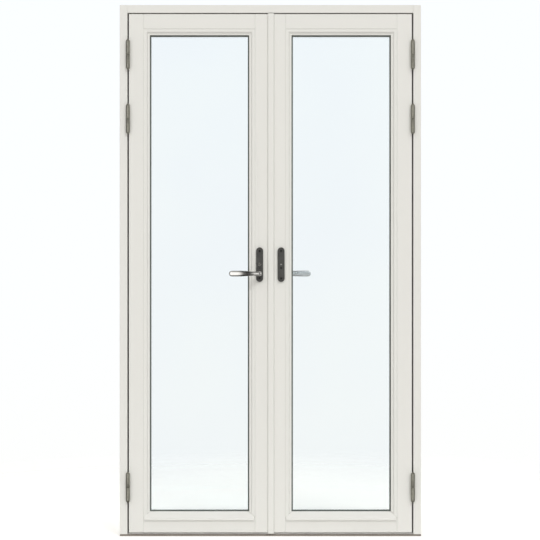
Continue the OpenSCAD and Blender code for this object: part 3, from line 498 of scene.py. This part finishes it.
def metal(name, colour, stretch, fineness, mottle, rough, tone=0.12, mottle_scale=60.0):
    """Metal with brushed lines and plating mottle; rough is the lowest and highest roughness."""
    material, add, link, shader, place = new_material(name, metallic=1.0)
    worked = place_group(
        add, link, worked_metal, place, Stretch=stretch, Fineness=fineness, Mottle_Scale=mottle_scale
    )
    dark = tuple(c * (1 - tone) for c in colour[:3]) + (1,)
    light = tuple(min(1.0, c * (1 + tone)) for c in colour[:3]) + (1,)
    lines = math_node(add, link, "MULTIPLY", worked.outputs["Lines"], 1 - mottle)
    clouds = math_node(add, link, "MULTIPLY", worked.outputs["Mottle"], mottle)
    even = remap(add, link, math_node(add, link, "ADD", lines, clouds), 0.35, 0.65)
    link(mix_colour(add, link, even, dark, light), shader.inputs["Base Color"])
    link(remap(add, link, worked.outputs["Lines"], 0.3, 0.7, *rough), shader.inputs["Roughness"])
    bump(add, link, worked.outputs["Height"], 0.15, METAL_RELIEF, shader)
    return material


anodised = metal("anodised_aluminium", (0.97, 0.96, 0.94, 1), (0.02, 1, 1), 700.0, 0.3, (0.34, 0.46))
spacer_bar = metal("spacer_bar", (0.62, 0.63, 0.62, 1), (1, 1, 0.02), 700.0, 0.4, (0.30, 0.42))
hinge_metal = metal(
    "hinge_zinc", (0.42, 0.41, 0.35, 1), (1, 1, 0.05), 500.0, 0.6, (0.26, 0.38), mottle_scale=140.0
)
screw_metal = metal(
    "screw_zinc", (0.50, 0.50, 0.46, 1), (1, 1, 1), 600.0, 0.5, (0.25, 0.36), mottle_scale=300.0
)
lever_metal = metal(
    "lever_steel", (0.80, 0.79, 0.77, 1), (0.04, 1, 1), 1400.0, 0.25, (0.08, 0.14), tone=0.05
)
# the outer lever's steel made rougher, with a darker colour that is painted shade for the dimmer inside
inner_lever_shaded_metal = metal(
    "inner_lever_steel_shaded", (0.50, 0.50, 0.49, 1), (0.04, 1, 1), 1400.0, 0.25, (0.20, 0.30), tone=0.08
)
cylinder_metal = metal(
    "cylinder_nickel", (0.34, 0.33, 0.31, 1), (1, 1, 1), 800.0, 0.4, (0.22, 0.32)
)
lock_metal = metal(
    "lock_zinc", (0.55, 0.55, 0.50, 1), (1, 1, 0.04), 500.0, 0.6, (0.28, 0.42), mottle_scale=90.0
)
zincs = (hinge_metal, screw_metal, lock_metal)
print("zinc:", [m.name for m in zincs], "levers:", [lever_metal.name, inner_lever_shaded_metal.name])

# %% [markdown]
# ### Rubber, composite and coated metal
# These are dull and nearly even: the gasket round the glass, the seals, the blocks under the glass,
# the strip under the threshold and the coated plates. An even colour would look like plastic from a
# toy box, so fine and wide noise together vary the colour a little, and the fine one gives the bump.

# %% Dull finishes


def plain_mottled(name, colour, spots, rough, scale=220.0, depth=0.2 * MM):
    """Rubber, composite or coated metal: a base colour with fine lighter spots."""
    material, add, link, shader, place = new_material(name, Specular_IOR_Level=0.5)
    fine = noise(add, link, place, scale, 4.0, 0.6)
    wide = noise(add, link, place, scale / 18, 3.0, 0.5)
    even = remap(add, link, math_node(add, link, "ADD", fine, wide), 0.75, 1.25)
    link(mix_colour(add, link, even, colour, spots), shader.inputs["Base Color"])
    link(remap(add, link, fine, 0.3, 0.7, *rough), shader.inputs["Roughness"])
    bump(add, link, fine, 0.3, depth, shader)
    return material


base_strip = plain_mottled(
    "composite_strip", (0.225, 0.195, 0.170, 1), (0.275, 0.245, 0.215, 1), (0.50, 0.65)
)
black_seal = plain_mottled(
    "black_seal", (0.013, 0.012, 0.011, 1), (0.024, 0.022, 0.020, 1), (0.45, 0.65)
)
block_plastic = plain_mottled(
    "setting_block", (0.02, 0.02, 0.02, 1), (0.03, 0.03, 0.03, 1), (0.4, 0.55)
)
grey_gasket = plain_mottled(
    "grey_gasket", (0.098, 0.115, 0.107, 1), (0.135, 0.152, 0.140, 1), (0.42, 0.60)
)
black_screws = plain_mottled(
    "black_screws", (0.012, 0.012, 0.012, 1), (0.022, 0.022, 0.021, 1), (0.35, 0.5), scale=900.0
)
rubber_and_plastic = (base_strip, black_seal, block_plastic, grey_gasket, black_screws)
print("dull finishes:", [m.name for m in rubber_and_plastic])

# %% [markdown]
# ### The plates' dark coat, with painted shade and a painted highlight
# The plates have a dark grey satin coat. Each has a small hole at 1.05 m, and black paint on the coat
# there is painted shade for the dark inside of the hole. The right one also gets a small light dot above
# it, a painted highlight. The marks are too small to need more shape than the CAD has, so the coat gets
# round masks at their places. One coat serves outer and inner plates, so the inner ones show the marks
# too.

# %% Coat with painted black shade in the hole and a painted highlight dot
# painted light on the plates: black shade inside each small hole, and one highlight dot on the right plate
PAINTED_HOLE_SHADE, PAINTED_HIGHLIGHT = (0.004, 0.004, 0.004, 1), (0.42, 0.42, 0.40, 1)
PLATE_PAINTED_LIGHT = [
    (-0.042, 1.0495, 0.0026, PAINTED_HOLE_SHADE),
    (0.042, 1.0495, 0.0042, PAINTED_HOLE_SHADE),
    (0.042, 1.064, 0.0028, PAINTED_HIGHLIGHT),
]


def painted_light_mask(add, link, place, x, z, radius):
    """1 within a radius of a place on the plate's face, 0 outside; x and z in metres."""
    near = add("ShaderNodeVectorMath", operation="SUBTRACT")
    link(place, near.inputs[0])
    near.inputs[1].default_value = (x, 0, z)
    flat = add("ShaderNodeVectorMath", operation="MULTIPLY")
    link(near.outputs[0], flat.inputs[0])
    flat.inputs[1].default_value = (1, 0, 1)
    length = add("ShaderNodeVectorMath", operation="LENGTH")
    link(flat.outputs[0], length.inputs[0])
    return remap(add, link, length.outputs["Value"], radius * 0.8, radius, 1.0, 0.0)


def build_plate_coat_and_painted_light():
    """Dark grey coat with painted black shade where the small hole is, and a painted highlight dot."""
    material = plain_mottled(
        "dark_plate_coat_painted_light",
        (0.058, 0.057, 0.055, 1),
        (0.076, 0.075, 0.072, 1),
        (0.30, 0.40),
        scale=900.0,
        depth=0.06 * MM,
    )
    add, link = tree_tools(material.node_tree)
    shader = next(n for n in material.node_tree.nodes if n.type == "BSDF_PRINCIPLED")
    place = next(n for n in material.node_tree.nodes if n.type == "TEX_COORD").outputs["Object"]
    colour = shader.inputs["Base Color"].links[0].from_socket
    # the coat's colour takes the painted shade of the holes and the painted highlight
    for x, z, radius, painted_light in PLATE_PAINTED_LIGHT:
        colour = mix_colour(add, link, painted_light_mask(add, link, place, x, z, radius), colour, painted_light)
    link(colour, shader.inputs["Base Color"])
    return material


plate_coat = build_plate_coat_and_painted_light()
print("plate coat nodes:", len(plate_coat.node_tree.nodes))

# %% [markdown]
# ### Glass
# Clear float glass has a faint cool tint and mirrors a little of the room. Light still has to
# reach the reveal behind it, so for shadow rays the pane lets light pass. A very weak noise in the
# roughness stands for the film of dust that every outside pane has.

# %% Glass
FILM_ROUGHNESS = 0.012
GLASS_TINTS = (0.955, 0.975, 0.985, 1), (0.965, 0.985, 0.985, 1)
SHADOW_TINT = (0.90, 0.94, 0.94, 1)


def build_glass():
    material, add, link, shader, place = new_material(
        "float_glass", Transmission_Weight=1.0, IOR=1.45
    )
    film = noise(add, link, place, 14.0, 5.0, 0.6)
    link(remap(add, link, film, 0.35, 0.75, 0.0, FILM_ROUGHNESS), shader.inputs["Roughness"])
    clouds = remap(add, link, noise(add, link, place, 1.3, 2.0), 0.3, 0.7)
    link(mix_colour(add, link, clouds, *GLASS_TINTS), shader.inputs["Base Color"])
    clear = add("ShaderNodeBsdfTransparent")
    clear.inputs["Color"].default_value = SHADOW_TINT
    path = add("ShaderNodeLightPath")
    both = add("ShaderNodeMixShader")
    link(path.outputs["Is Shadow Ray"], both.inputs["Fac"])
    link(shader.outputs[0], both.inputs[1])
    link(clear.outputs[0], both.inputs[2])
    out = next(n for n in material.node_tree.nodes if n.type == "OUTPUT_MATERIAL")
    link(both.outputs[0], out.inputs["Surface"])
    return material


float_glass = build_glass()
print("glass:", float_glass.name, "nodes", len(float_glass.node_tree.nodes))

# %% [markdown]
# ### The studio floor's colour
# The floor has to look as white as the background, so it glows a little to the eye and through the
# glass. Its small glow towards the door itself stands for the light that a pale ground throws up.
# Towards its rim it becomes clear, which hides the edge.

# %% Floor material
FLOOR_SEEN, FLOOR_FILL = 0.43, 0.16
FLOOR_TONES = (0.80, 0.79, 0.77, 1), (0.84, 0.83, 0.81, 1)
FADE_FROM, FADE_TO = 0.9, 2.9


def build_floor():
    material, add, link, shader, place = new_material("pale_floor", Roughness=0.65)
    shader.inputs["Emission Color"].default_value = (1.0, 1.0, 0.985, 1)
    path = add("ShaderNodeLightPath").outputs
    seen = math_node(add, link, "MAXIMUM", path["Is Camera Ray"], path["Is Transmission Ray"])
    seen = math_node(add, link, "MULTIPLY", seen, FLOOR_SEEN)
    fill = math_node(add, link, "MULTIPLY", path["Is Diffuse Ray"], FLOOR_FILL)
    link(math_node(add, link, "ADD", seen, fill), shader.inputs["Emission Strength"])
    tone = remap(add, link, noise(add, link, place, 0.8, 3.0), 0.3, 0.7)
    link(mix_colour(add, link, tone, *FLOOR_TONES), shader.inputs["Base Color"])
    distance = add("ShaderNodeVectorMath", operation="LENGTH")
    link(place, distance.inputs[0])
    rim = remap(add, link, distance.outputs["Value"], FADE_FROM, FADE_TO, 1.0, 0.0)
    link(rim, shader.inputs["Alpha"])
    return material


floor.data.materials.append(build_floor())
print("floor material:", floor.data.materials[0].name)

# %% [markdown]
# ## Finishes on the CAD pieces
# Every CAD piece whose shape is right keeps it. Its material follows from its name: the first row
# with a word that is in the name counts, so the narrower words stand above the wider ones.

# %% Give each CAD piece its material
FINISH = [
    (("top_rail", "bottom_rail", "head", "drip_bead"), paint_lying),
    (("jamb", "stile", "glazing_beads", "astragal", "cover_strip"), paint_upright),
    (("threshold_base",), base_strip),
    (("threshold_plate",), anodised),
    (("spacer",), spacer_bar),
    (("panes",), float_glass),
    (("gaskets",), grey_gasket),
    (("seal",), black_seal),
    (("setting_blocks",), block_plastic),
    (("outer_plate", "inner_plate"), plate_coat),
    (("hinges",), hinge_metal),
    (("screws", "hinge_pins"), screw_metal),
    (("inner_lever",), inner_lever_shaded_metal),
    (("lever",), lever_metal),
    (("cylinder", "key_plug", "thumb_turn"), cylinder_metal),
    (("gear_case", "faceplate", "spindle", "pinion", "rod", "bolt_keeps"), lock_metal),
]


def finish_of(name):
    for words, material in FINISH:
        if any(word in name for word in words):
            return material
    raise ValueError(name)


for name, node in nodes.items():
    node.data.materials.clear()
    node.data.materials.append(finish_of(name))
print("finishes in use:", len({n.data.materials[0].name for n in nodes.values()}))

# %% [markdown]
# ## Eased edges
# No timber edge on a real door is sharp: the machine eases it by a millimetre or two, because paint
# doesn't hold on a sharp edge. A bevel by angle does this on the CAD pieces. Their meshes are loose
# triangles, so a weld comes first, and the triangles of each flat side are joined into one face.
# Without that, long thin triangles round the lock's holes show as streaks in the paint. Metal parts
# get smaller edges.

# %% Weld, flat faces and bevel
WELD_GAP = 0.005 * MM
FLAT_WITHIN, SHARP_FROM = math.radians(0.4), math.radians(35)
EASED = [
    (("jamb", "head", "stile", "rail", "astragal", "cover_strip"), 1.5 * MM),
    (("drip_bead", "glazing_beads"), 0.9 * MM),
    (("gaskets",), 0.8 * MM),
    (("threshold",), 0.5 * MM),
    (("faceplate",), 0.3 * MM),
    (("plate",), 0.8 * MM),
]


def ease(node, width):
    """Rounds the sharp edges of a CAD piece without touching its mesh."""
    weld = node.modifiers.new("weld", "WELD")
    weld.merge_threshold = WELD_GAP
    flat = node.modifiers.new("flat_faces", "DECIMATE")
    flat.decimate_type = "DISSOLVE"
    flat.angle_limit = FLAT_WITHIN
    edge = node.modifiers.new("eased_edges", "BEVEL")
    edge.width = width
    edge.segments = 3
    edge.limit_method = "ANGLE"
    edge.angle_limit = SHARP_FROM
    edge.use_clamp_overlap = False
    edge.harden_normals = True
    edge.miter_outer = "MITER_ARC"


eased = []
for name, node in nodes.items():
    for words, width in EASED:
        if any(word in name for word in words):
            ease(node, width)
            eased.append(name)
            break
print("eased pieces:", len(eased))

# %% [markdown]
# ## Modelling by rings
# Levers, hinge barrels and screws are all round or nearly round along a line. Each starts as one flat
# face, which is extruded from ring to ring, and each ring is moved and resized as it goes, the way
# a turner works along a profile. The result is closed, because the first face stays as the end.

# %% Choosing and editing a piece


def choose(*pieces):
    """Selects only these pieces; the first one becomes the active one."""
    clear_selection()
    for piece in pieces:
        piece.select_set(True)
    bpy.context.view_layer.objects.active = pieces[0]


def remove(*pieces):
    choose(*pieces)
    bpy.ops.object.delete()


def edit(piece):
    """Edit mode, with all faces selected."""
    choose(piece)
    bpy.ops.object.mode_set(mode="EDIT")
    bpy.ops.mesh.select_mode(type="FACE")
    bpy.ops.mesh.select_all(action="SELECT")


def leave_edit():
    """Turns all faces outwards and goes back to object mode."""
    bpy.ops.mesh.select_all(action="SELECT")
    bpy.ops.mesh.normals_make_consistent(inside=False)
    bpy.ops.object.mode_set(mode="OBJECT")


# %% Rings, turned solids and blocks
# how a circle that lies flat is turned, so that it stands across each axis
TURNS = {"X": (0, math.pi / 2, 0), "Y": (math.pi / 2, 0, 0), "Z": (0, 0, 0)}


def follow_rings(rings):
    """Extrudes the selected face from ring to ring; a ring is its centre and its size along X, Y, Z."""
    centre, size = rings[0]
    bpy.ops.transform.resize(value=size, center_override=(0, 0, 0))
    bpy.ops.transform.translate(value=centre)
    for next_centre, next_size in rings[1:]:
        bpy.ops.mesh.extrude_region_move(TRANSFORM_OT_translate={"value": next_centre - centre})
        growth = [b / a for a, b in zip(size, next_size)]
        bpy.ops.transform.resize(value=growth, center_override=next_centre)
        centre, size = next_centre, next_size
    leave_edit()


def turned(name, axis, through, profile, vertices=40):
    """A turned solid round an axis through a point. The profile lists radius and place, in mm."""
    clear_selection()
    bpy.ops.mesh.primitive_circle_add(
        vertices=vertices, radius=1, fill_type="NGON", rotation=TURNS[axis]
    )
    piece = bpy.context.object
    piece.name = name
    bpy.ops.object.transform_apply(location=True, rotation=True, scale=True)
    edit(piece)
    along = "XYZ".index(axis)
    rings = []
    for radius, at in profile:
        centre = Vector(through) * MM
        centre[along] = at * MM
        size = Vector((radius, radius, radius)) * MM
        size[along] = 1
        rings.append((centre, size))
    follow_rings(rings)
    return piece


def block(centre, size):
    """A box from its centre and its size, in mm."""
    clear_selection()
    bpy.ops.mesh.primitive_cube_add(size=1, location=Vector(centre) * MM)
    bpy.ops.transform.resize(value=Vector(size) * MM)
    bpy.ops.object.transform_apply(location=True, rotation=True, scale=True)
    return bpy.context.object


print("axes for turning:", sorted(TURNS))

# %% [markdown]
# ### From solids to pieces
# Solids are joined into one or cut from each other by booleans. Pieces that come back are made once
# and copied, mirrored or turned. A finished piece gets its name, its finish and the body that it
# moves with, and it takes the place of the CAD piece that it was modelled after.

# %% Booleans, copies and the last dressing


def cut_or_join(piece, tool, operation):
    """Boolean of two solids, applied; the tool is gone afterwards."""
    modifier = piece.modifiers.new("boolean", "BOOLEAN")
    modifier.operation = operation
    modifier.solver = "EXACT"
    modifier.object = tool
    choose(piece)
    bpy.ops.object.modifier_apply(modifier=modifier.name)
    remove(tool)


def copy_of(piece, name, stretch=(1, 1, 1), about=(0, 0, 0), shift=(0, 0, 0), turn=None):
    """A copy with its own mesh, turned about an axis, stretched about a point and then moved, in mm.

    A stretch of -1 mirrors it."""
    choose(piece)
    bpy.ops.object.duplicate(linked=False)
    made = bpy.context.object
    made.name = name
    edit(made)
    if turn:
        axis, angle = turn
        bpy.ops.transform.rotate(
            value=math.radians(angle), orient_axis=axis, center_override=(0, 0, 0)
        )
    bpy.ops.transform.resize(value=stretch, center_override=Vector(about) * MM)
    bpy.ops.transform.translate(value=Vector(shift) * MM)
    leave_edit()
    return made


def joined(pieces, name):
    choose(*pieces)
    bpy.ops.object.join()
    pieces[0].name = name
    return pieces[0]


def dress(piece, name, body, slot, material, *replaced, smooth=35):
    """Names a finished piece, smooths its round faces, and gives it its finish and its body."""
    piece.name = name
    piece.data.name = name
    choose(piece)
    bpy.ops.object.shade_smooth_by_angle(angle=math.radians(smooth))
    piece.data.materials.clear()
    piece.data.materials.append(material)
    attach(piece, body)
    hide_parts(*replaced)
    print(name, "faces", len(piece.data.polygons), "size mm", [round(v / MM, 1) for v in piece.dimensions])


# %% [markdown]
# ## The levers
# A cast steel lever is one soft form: a round head over the spindle, a waist where the thumb lies, a
# wider middle and a rounded end. Cut from a flat bar it would look hard. So its section, a
# rectangle with very round corners, runs as rings from the head to the end and swells on the way.
# Seen from above, the grip waves a little: it swings out and comes back towards the door at its end.

# %% Lever sizes in mm
SPINDLE_X, SPINDLE_Z = -42.0, 1028.0
LEAF_OUT_Y, LEAF_IN_Y = -56.5, 11.5
PLATE_THICK = 7.0
PLATE_FACE_Y = LEAF_OUT_Y - PLATE_THICK
GRIP_Y = PLATE_FACE_Y - 38.0
HEAD_R, WAIST_H, FULL_H = 9.5, 8.5, 11.5
LEVER_LEN = 119.0
GRIP_STRAIGHT = LEVER_LEN - FULL_H
WAIST_AT, FULL_AT = 0.15, 0.75
HALF_THICK, THINNER_AT_END = 6.0, 1.5
WAVE_HEIGHT, WAVE_ANGLE, WAVE_DELAY = 3.0, math.radians(240), 1.1


def ease_between(a, b, t):
    return a + (b - a) * (1 - math.cos(math.pi * min(1, max(0, t)))) / 2


def grip_half_height(u):
    t = u / GRIP_STRAIGHT
    if t < WAIST_AT:
        return ease_between(HEAD_R, WAIST_H, t / WAIST_AT)
    return ease_between(WAIST_H, FULL_H, (t - WAIST_AT) / (FULL_AT - WAIST_AT))


def grip_middle(u):
    t = max(0, u) / LEVER_LEN
    return GRIP_Y - WAVE_HEIGHT * math.sin(WAVE_ANGLE * t**WAVE_DELAY)


def grip_half_thick(u):
    return HALF_THICK - THINNER_AT_END * max(0, u) / LEVER_LEN


print("grip height at waist and middle:", 2 * WAIST_H, 2 * FULL_H, "mm, length", LEVER_LEN, "mm")

# %% The grip, from its head to its end
HEAD_DEGREES, END_DEGREES = (8, 24, 42, 62), (20, 40, 58, 72, 82)
STRAIGHT_STEPS = 18


def lever_rings():
    """Rings round the head, along the straight part and round the end; u runs along the grip."""
    rings = []
    for turn in map(math.radians, HEAD_DEGREES):
        u, high = -HEAD_R * math.cos(turn), HEAD_R * math.sin(turn)
        rings.append((u, high, HALF_THICK * (0.50 + 0.50 * math.sin(turn))))
    for i in range(STRAIGHT_STEPS + 1):
        u = GRIP_STRAIGHT * i / STRAIGHT_STEPS
        rings.append((u, grip_half_height(u), grip_half_thick(u)))
    for turn in map(math.radians, END_DEGREES):
        u, high = GRIP_STRAIGHT + FULL_H * math.sin(turn), FULL_H * math.cos(turn)
        rings.append((u, high, grip_half_thick(u) * (0.45 + 0.55 * math.cos(turn))))
    made = []
    for u, high, thick in rings:
        centre = Vector((SPINDLE_X - u, grip_middle(u), SPINDLE_Z)) * MM
        made.append((centre, Vector((1, 2 * thick * MM, 2 * high * MM))))
    return made


clear_selection()
bpy.ops.mesh.primitive_plane_add(size=1, rotation=TURNS["X"])
lever = bpy.context.object
lever.name = "lever"
bpy.ops.object.transform_apply(location=True, rotation=True, scale=True)
edit(lever)
bpy.ops.mesh.bevel(offset_type="PERCENT", offset_pct=44, segments=6, affect="VERTICES")
bpy.ops.mesh.select_all(action="SELECT")
follow_rings(lever_rings())
print("grip faces", len(lever.data.polygons))

# %% [markdown]
# ### Neck, dish and square hole
# A turned neck with a collar carries the grip in front of the plate, and the lever's face has a
# shallow round dish over the spindle. Both are turned and then joined to the grip or cut from it.
# The square hole behind takes the spindle, so that the CAD spindle doesn't run through solid steel.

# %% Its neck and collar, its dished head and the square hole
NECK = [
    (8.0, -6.7), (8.0, 0.3), (9.0, 0.3), (9.5, 0.9), (9.5, 5.8), (9.2, 6.8), (8.2, 7.4),
    (7.6, 10), (7.4, 18), (7.6, 26), (8.2, 32), (8.8, 34.5), (8.6, 38),
]
DISH = [(3.6, 4.9), (5.2, 5.2), (6.0, 5.9), (6.6, 7.5), (6.6, 9)]
SPINDLE_AXIS = (SPINDLE_X, 0, SPINDLE_Z)
SQUARE_MIDDLE_Y, SQUARE_DEPTH, SQUARE_SIDE = -72, 47, 8.1

neck = turned("neck", "Y", SPINDLE_AXIS, [(radius, PLATE_FACE_Y - out) for radius, out in NECK])
cut_or_join(lever, neck, "UNION")
dish = turned("dish", "Y", SPINDLE_AXIS, [(radius, GRIP_Y - out) for radius, out in DISH])
cut_or_join(lever, dish, "DIFFERENCE")
square_hole = block((SPINDLE_X, SQUARE_MIDDLE_Y, SPINDLE_Z), (SQUARE_SIDE, SQUARE_DEPTH, SQUARE_SIDE))
cut_or_join(lever, square_hole, "DIFFERENCE")
print("lever faces", len(lever.data.polygons))

# %% [markdown]
# ### Three levers from one
# The inner lever is the outer one mirrored in the middle of the leaf's thickness, and the other leaf's is
# its mirror image again. The right leaf has no lever outside. The inner ones get a rougher steel with a
# darker colour, and the darker colour is painted shade, because indoors there is less for them to mirror.

# %% Mirrored to the inside, and to the other leaf
MIDDLE_OF_LEAF_Y = (LEAF_OUT_Y + LEAF_IN_Y) / 2
left_inside = copy_of(lever, "left_inside", stretch=(1, -1, 1), about=(0, MIDDLE_OF_LEAF_Y, 0))
right_inside = copy_of(left_inside, "right_inside", stretch=(-1, 1, 1))
for piece, node_name, body, material in (
    (lever, "left_outer_lever", "left_handle", lever_metal),
    (left_inside, "left_inner_lever", "left_handle", inner_lever_shaded_metal),
    (right_inside, "right_inner_lever", "right_handle", inner_lever_shaded_metal),
):
    dress(piece, node_name + "_cast", body, "lever_steel", material, node_name, smooth=50)

# %% [markdown]
# ## The hinges
# Each hinge has two halves that meet in the middle of the barrel. A half is a knuckle, with a fine
# notch at the joint and a soft shoulder with a small button at its free end, and a plate that runs back
# into the gap. The knuckle is turned, the plate is a block with rounded corners, and its screw
# holes are bored and countersunk. The joint stands at height 0 while a half is made.

# %% A hinge half
HINGE_X, HINGE_Y = -557.0, -66.5
JAMB_HEAD_X, JAMB_BACK_X = -557.6, -560.0
LEAF_HEAD_X, LEAF_BACK_X = -556.4, -554.0
HINGE_HEIGHTS = (1885.0, 1633.0, 192.0)
FLAP_FOOT, FLAP_TOP = 1.8, 55.2
FLAP_MIDDLE_Y, FLAP_DEPTH, FLAP_CORNER = -45.5, 42, 6
PIN_BORE_R, PIN_BORE_END = 4.05, 40.9
SCREW_BORE_R, COUNTERSINK_R = 2.05, 3.95
SCREW_Y = -41.0
SCREW_OFFSETS = (14.25, 42.75)
KNUCKLE = [
    (PIN_BORE_R, PIN_BORE_END), (PIN_BORE_R, 0.0), (6.8, 0.0), (7.6, 0.6), (8.0, 1.5), (8.0, 48.0),
    (7.9, 51.0), (7.5, 53.4), (6.7, 55.4), (5.5, 56.6), (4.3, 57.1), (4.0, 57.6), (4.0, 58.6),
    (3.5, 59.4), (2.3, 59.9), (0.7, 60.0),
]


def round_back_corners(flap):
    """Rounds the two lying edges of a hinge plate that are deepest in the gap."""
    edit(flap)
    bpy.ops.mesh.select_mode(type="EDGE")
    bpy.ops.mesh.select_all(action="DESELECT")
    bpy.ops.object.mode_set(mode="OBJECT")
    corners = flap.data.vertices
    back = max(v.co.y for v in corners)
    for edge in flap.data.edges:
        a, b = (corners[i].co for i in edge.vertices)
        edge.select = all(abs(end.y - back) < 1e-6 for end in (a, b)) and abs(a.z - b.z) < 1e-6
    bpy.ops.object.mode_set(mode="EDIT")
    bpy.ops.mesh.bevel(offset=FLAP_CORNER * MM, segments=6, affect="EDGES")
    leave_edit()


def hinge_half(name, direction, start, head_x, back_x):
    """One half of a hinge on the left; start is its gap to the joint. Direction is +1 for the upper
    half, with its plate on the leaf to the right, and -1 for the lower one, on the jamb to the left."""
    knuckle = [(radius, direction * (start + at)) for radius, at in KNUCKLE]
    barrel = turned(name, "Z", (HINGE_X, HINGE_Y, 0), knuckle, vertices=48)
    low, high = start + FLAP_FOOT, start + FLAP_TOP
    left, right = sorted((head_x, back_x))
    flap = block(
        ((left + right) / 2, FLAP_MIDDLE_Y, direction * (low + high) / 2),
        (right - left, FLAP_DEPTH, high - low),
    )
    round_back_corners(flap)
    cut_or_join(barrel, flap, "UNION")
    cutter = [
        (SCREW_BORE_R, head_x + 8 * direction),
        (SCREW_BORE_R, head_x + 2 * direction),
        (COUNTERSINK_R, head_x),
        (COUNTERSINK_R, head_x - 2 * direction),
    ]
    for offset in SCREW_OFFSETS:
        hole = turned("hole", "X", (0, SCREW_Y, direction * offset), cutter, vertices=24)
        cut_or_join(barrel, hole, "DIFFERENCE")
    depth = [(PIN_BORE_R, -direction), (PIN_BORE_R, direction * (start + PIN_BORE_END))]
    cut_or_join(barrel, turned("bore", "Z", (HINGE_X, HINGE_Y, 0), depth), "DIFFERENCE")
    print(name, "faces", len(barrel.data.polygons))
    return barrel


lower_half = hinge_half("lower_half", -1, 0.0, JAMB_HEAD_X, JAMB_BACK_X)
upper_half = hinge_half("upper_half", 1, 0.3, LEAF_HEAD_X, LEAF_BACK_X)

# %% Three of each on both sides
for half, node_word in ((lower_half, "frame_hinges"), (upper_half, "leaf_hinges")):
    left = joined([copy_of(half, "hinge", shift=(0, 0, z)) for z in HINGE_HEIGHTS], "left_" + node_word)
    right = copy_of(left, "right_" + node_word, stretch=(-1, 1, 1))
    for side, piece in (("left", left), ("right", right)):
        body = "frame" if half == lower_half else side + "_leaf"
        node_name = side + "_" + node_word
        dress(piece, node_name + "_turned", body, "hinge_steel", hinge_metal, node_name)
remove(lower_half, upper_half)

# %% [markdown]
# ## The screws
# Wood screws with a countersunk head and a cross recess hold the hinges and plates. The thread is
# made of rings that grow and shrink by turns, the cross of two tapered bars that are cut out of
# the head. One screw is enough, and all the others are copies of it. Those of the plates are dark.

# %% One screw, pointing down, with its head's top at height 0
THREAD_FROM, THREAD_PITCH, THREAD_TURNS = -23.2, 0.95, 20
CORE_R, THREAD_R = 1.55, 1.97
TIP = [(0.15, -25.0), (0.9, -24.2)]
HEAD = [(1.9, -4.2), (1.98, -2.0), (3.85, -0.12), (3.7, -0.02), (2.9, 0.0)]
CROSS_BAR, CROSS_MIDDLE_Z = (4.4, 0.85, 2.8), -0.3
CROSS_TAPER = (0.4, 0.55, 1)

thread = []
for i in range(THREAD_TURNS):
    foot = THREAD_FROM + i * THREAD_PITCH
    thread += [(CORE_R, foot), (THREAD_R, foot + 0.30), (THREAD_R, foot + 0.45)]
screw = turned("screw", "Z", (0, 0, 0), TIP + thread + HEAD, vertices=24)
for turn in (0, 90):
    bar = block((0, 0, CROSS_MIDDLE_Z), CROSS_BAR)
    edit(bar)
    bpy.ops.mesh.select_all(action="DESELECT")
    bpy.ops.object.mode_set(mode="OBJECT")
    for face in bar.data.polygons:
        face.select = face.normal.z < -0.9
    bpy.ops.object.mode_set(mode="EDIT")
    bpy.ops.transform.resize(value=CROSS_TAPER, center_override=(0, 0, 0))
    bpy.ops.mesh.select_all(action="SELECT")
    bpy.ops.transform.rotate(value=math.radians(turn), orient_axis="Z", center_override=(0, 0, 0))
    leave_edit()
    cut_or_join(screw, bar, "DIFFERENCE")
print("screw faces", len(screw.data.polygons))

# %% [markdown]
# ### Screws in their places
# The screws of the lower hinge halves point into the jambs and those of the upper halves into the
# leaves, two to a half. Each plate, outside and inside, is held by one screw near its top and one
# near its foot. The left side is placed first, and the right side is its mirror image.

# %% Screws of hinges and plates
POINTS_LEFT, POINTS_RIGHT = ("Y", 90), ("Y", -90)
POINTS_IN, POINTS_OUT = ("X", 90), ("X", -90)
PLATE_SCREW_HEIGHTS = (1116.75, 1009.25)


def screws_along(axis, angle, places):
    """Copies of the screw, turned about an axis so that they point the right way, at their places."""
    return [copy_of(screw, "screw", turn=(axis, angle), shift=place) for place in places]


def hinge_screw_places(head_x, direction):
    return [
        (head_x, SCREW_Y, z + direction * offset) for z in HINGE_HEIGHTS for offset in SCREW_OFFSETS
    ]


def plate_screw_places(y):
    return [(SPINDLE_X, y, z) for z in PLATE_SCREW_HEIGHTS]


frame_left = joined(screws_along(*POINTS_LEFT, hinge_screw_places(JAMB_HEAD_X, -1)), "frame_left")
frame_right = copy_of(frame_left, "frame_right", stretch=(-1, 1, 1))
leaf_left = joined(screws_along(*POINTS_RIGHT, hinge_screw_places(LEAF_HEAD_X, 1)), "leaf_left")
leaf_right = copy_of(leaf_left, "leaf_right", stretch=(-1, 1, 1))
outside = screws_along(*POINTS_IN, plate_screw_places(PLATE_FACE_Y))
inside = screws_along(*POINTS_OUT, plate_screw_places(LEAF_IN_Y + PLATE_THICK))
plate_left = joined(outside + inside, "plate_left")
plate_right = copy_of(plate_left, "plate_right", stretch=(-1, 1, 1))
frame_both = joined([frame_left, frame_right], "frame")
dress(frame_both, "frame_hinge_screws", "frame", "screw_steel", screw_metal, "frame_screws")
for side, hinge, plate in (("left", leaf_left, plate_left), ("right", leaf_right, plate_right)):
    leaf, replaced = side + "_leaf", side + "_screws"
    dress(hinge, side + "_hinge_screws", leaf, "screw_steel", screw_metal, replaced)
    dress(plate, side + "_plate_screws", leaf, "plate_coating", black_screws, replaced)
remove(screw)
for name in ("frame_screws", "left_screws", "right_screws"):
    low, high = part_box(name)
    print(name, [round(v / MM, 2) for v in low], [round(v / MM, 2) for v in high])
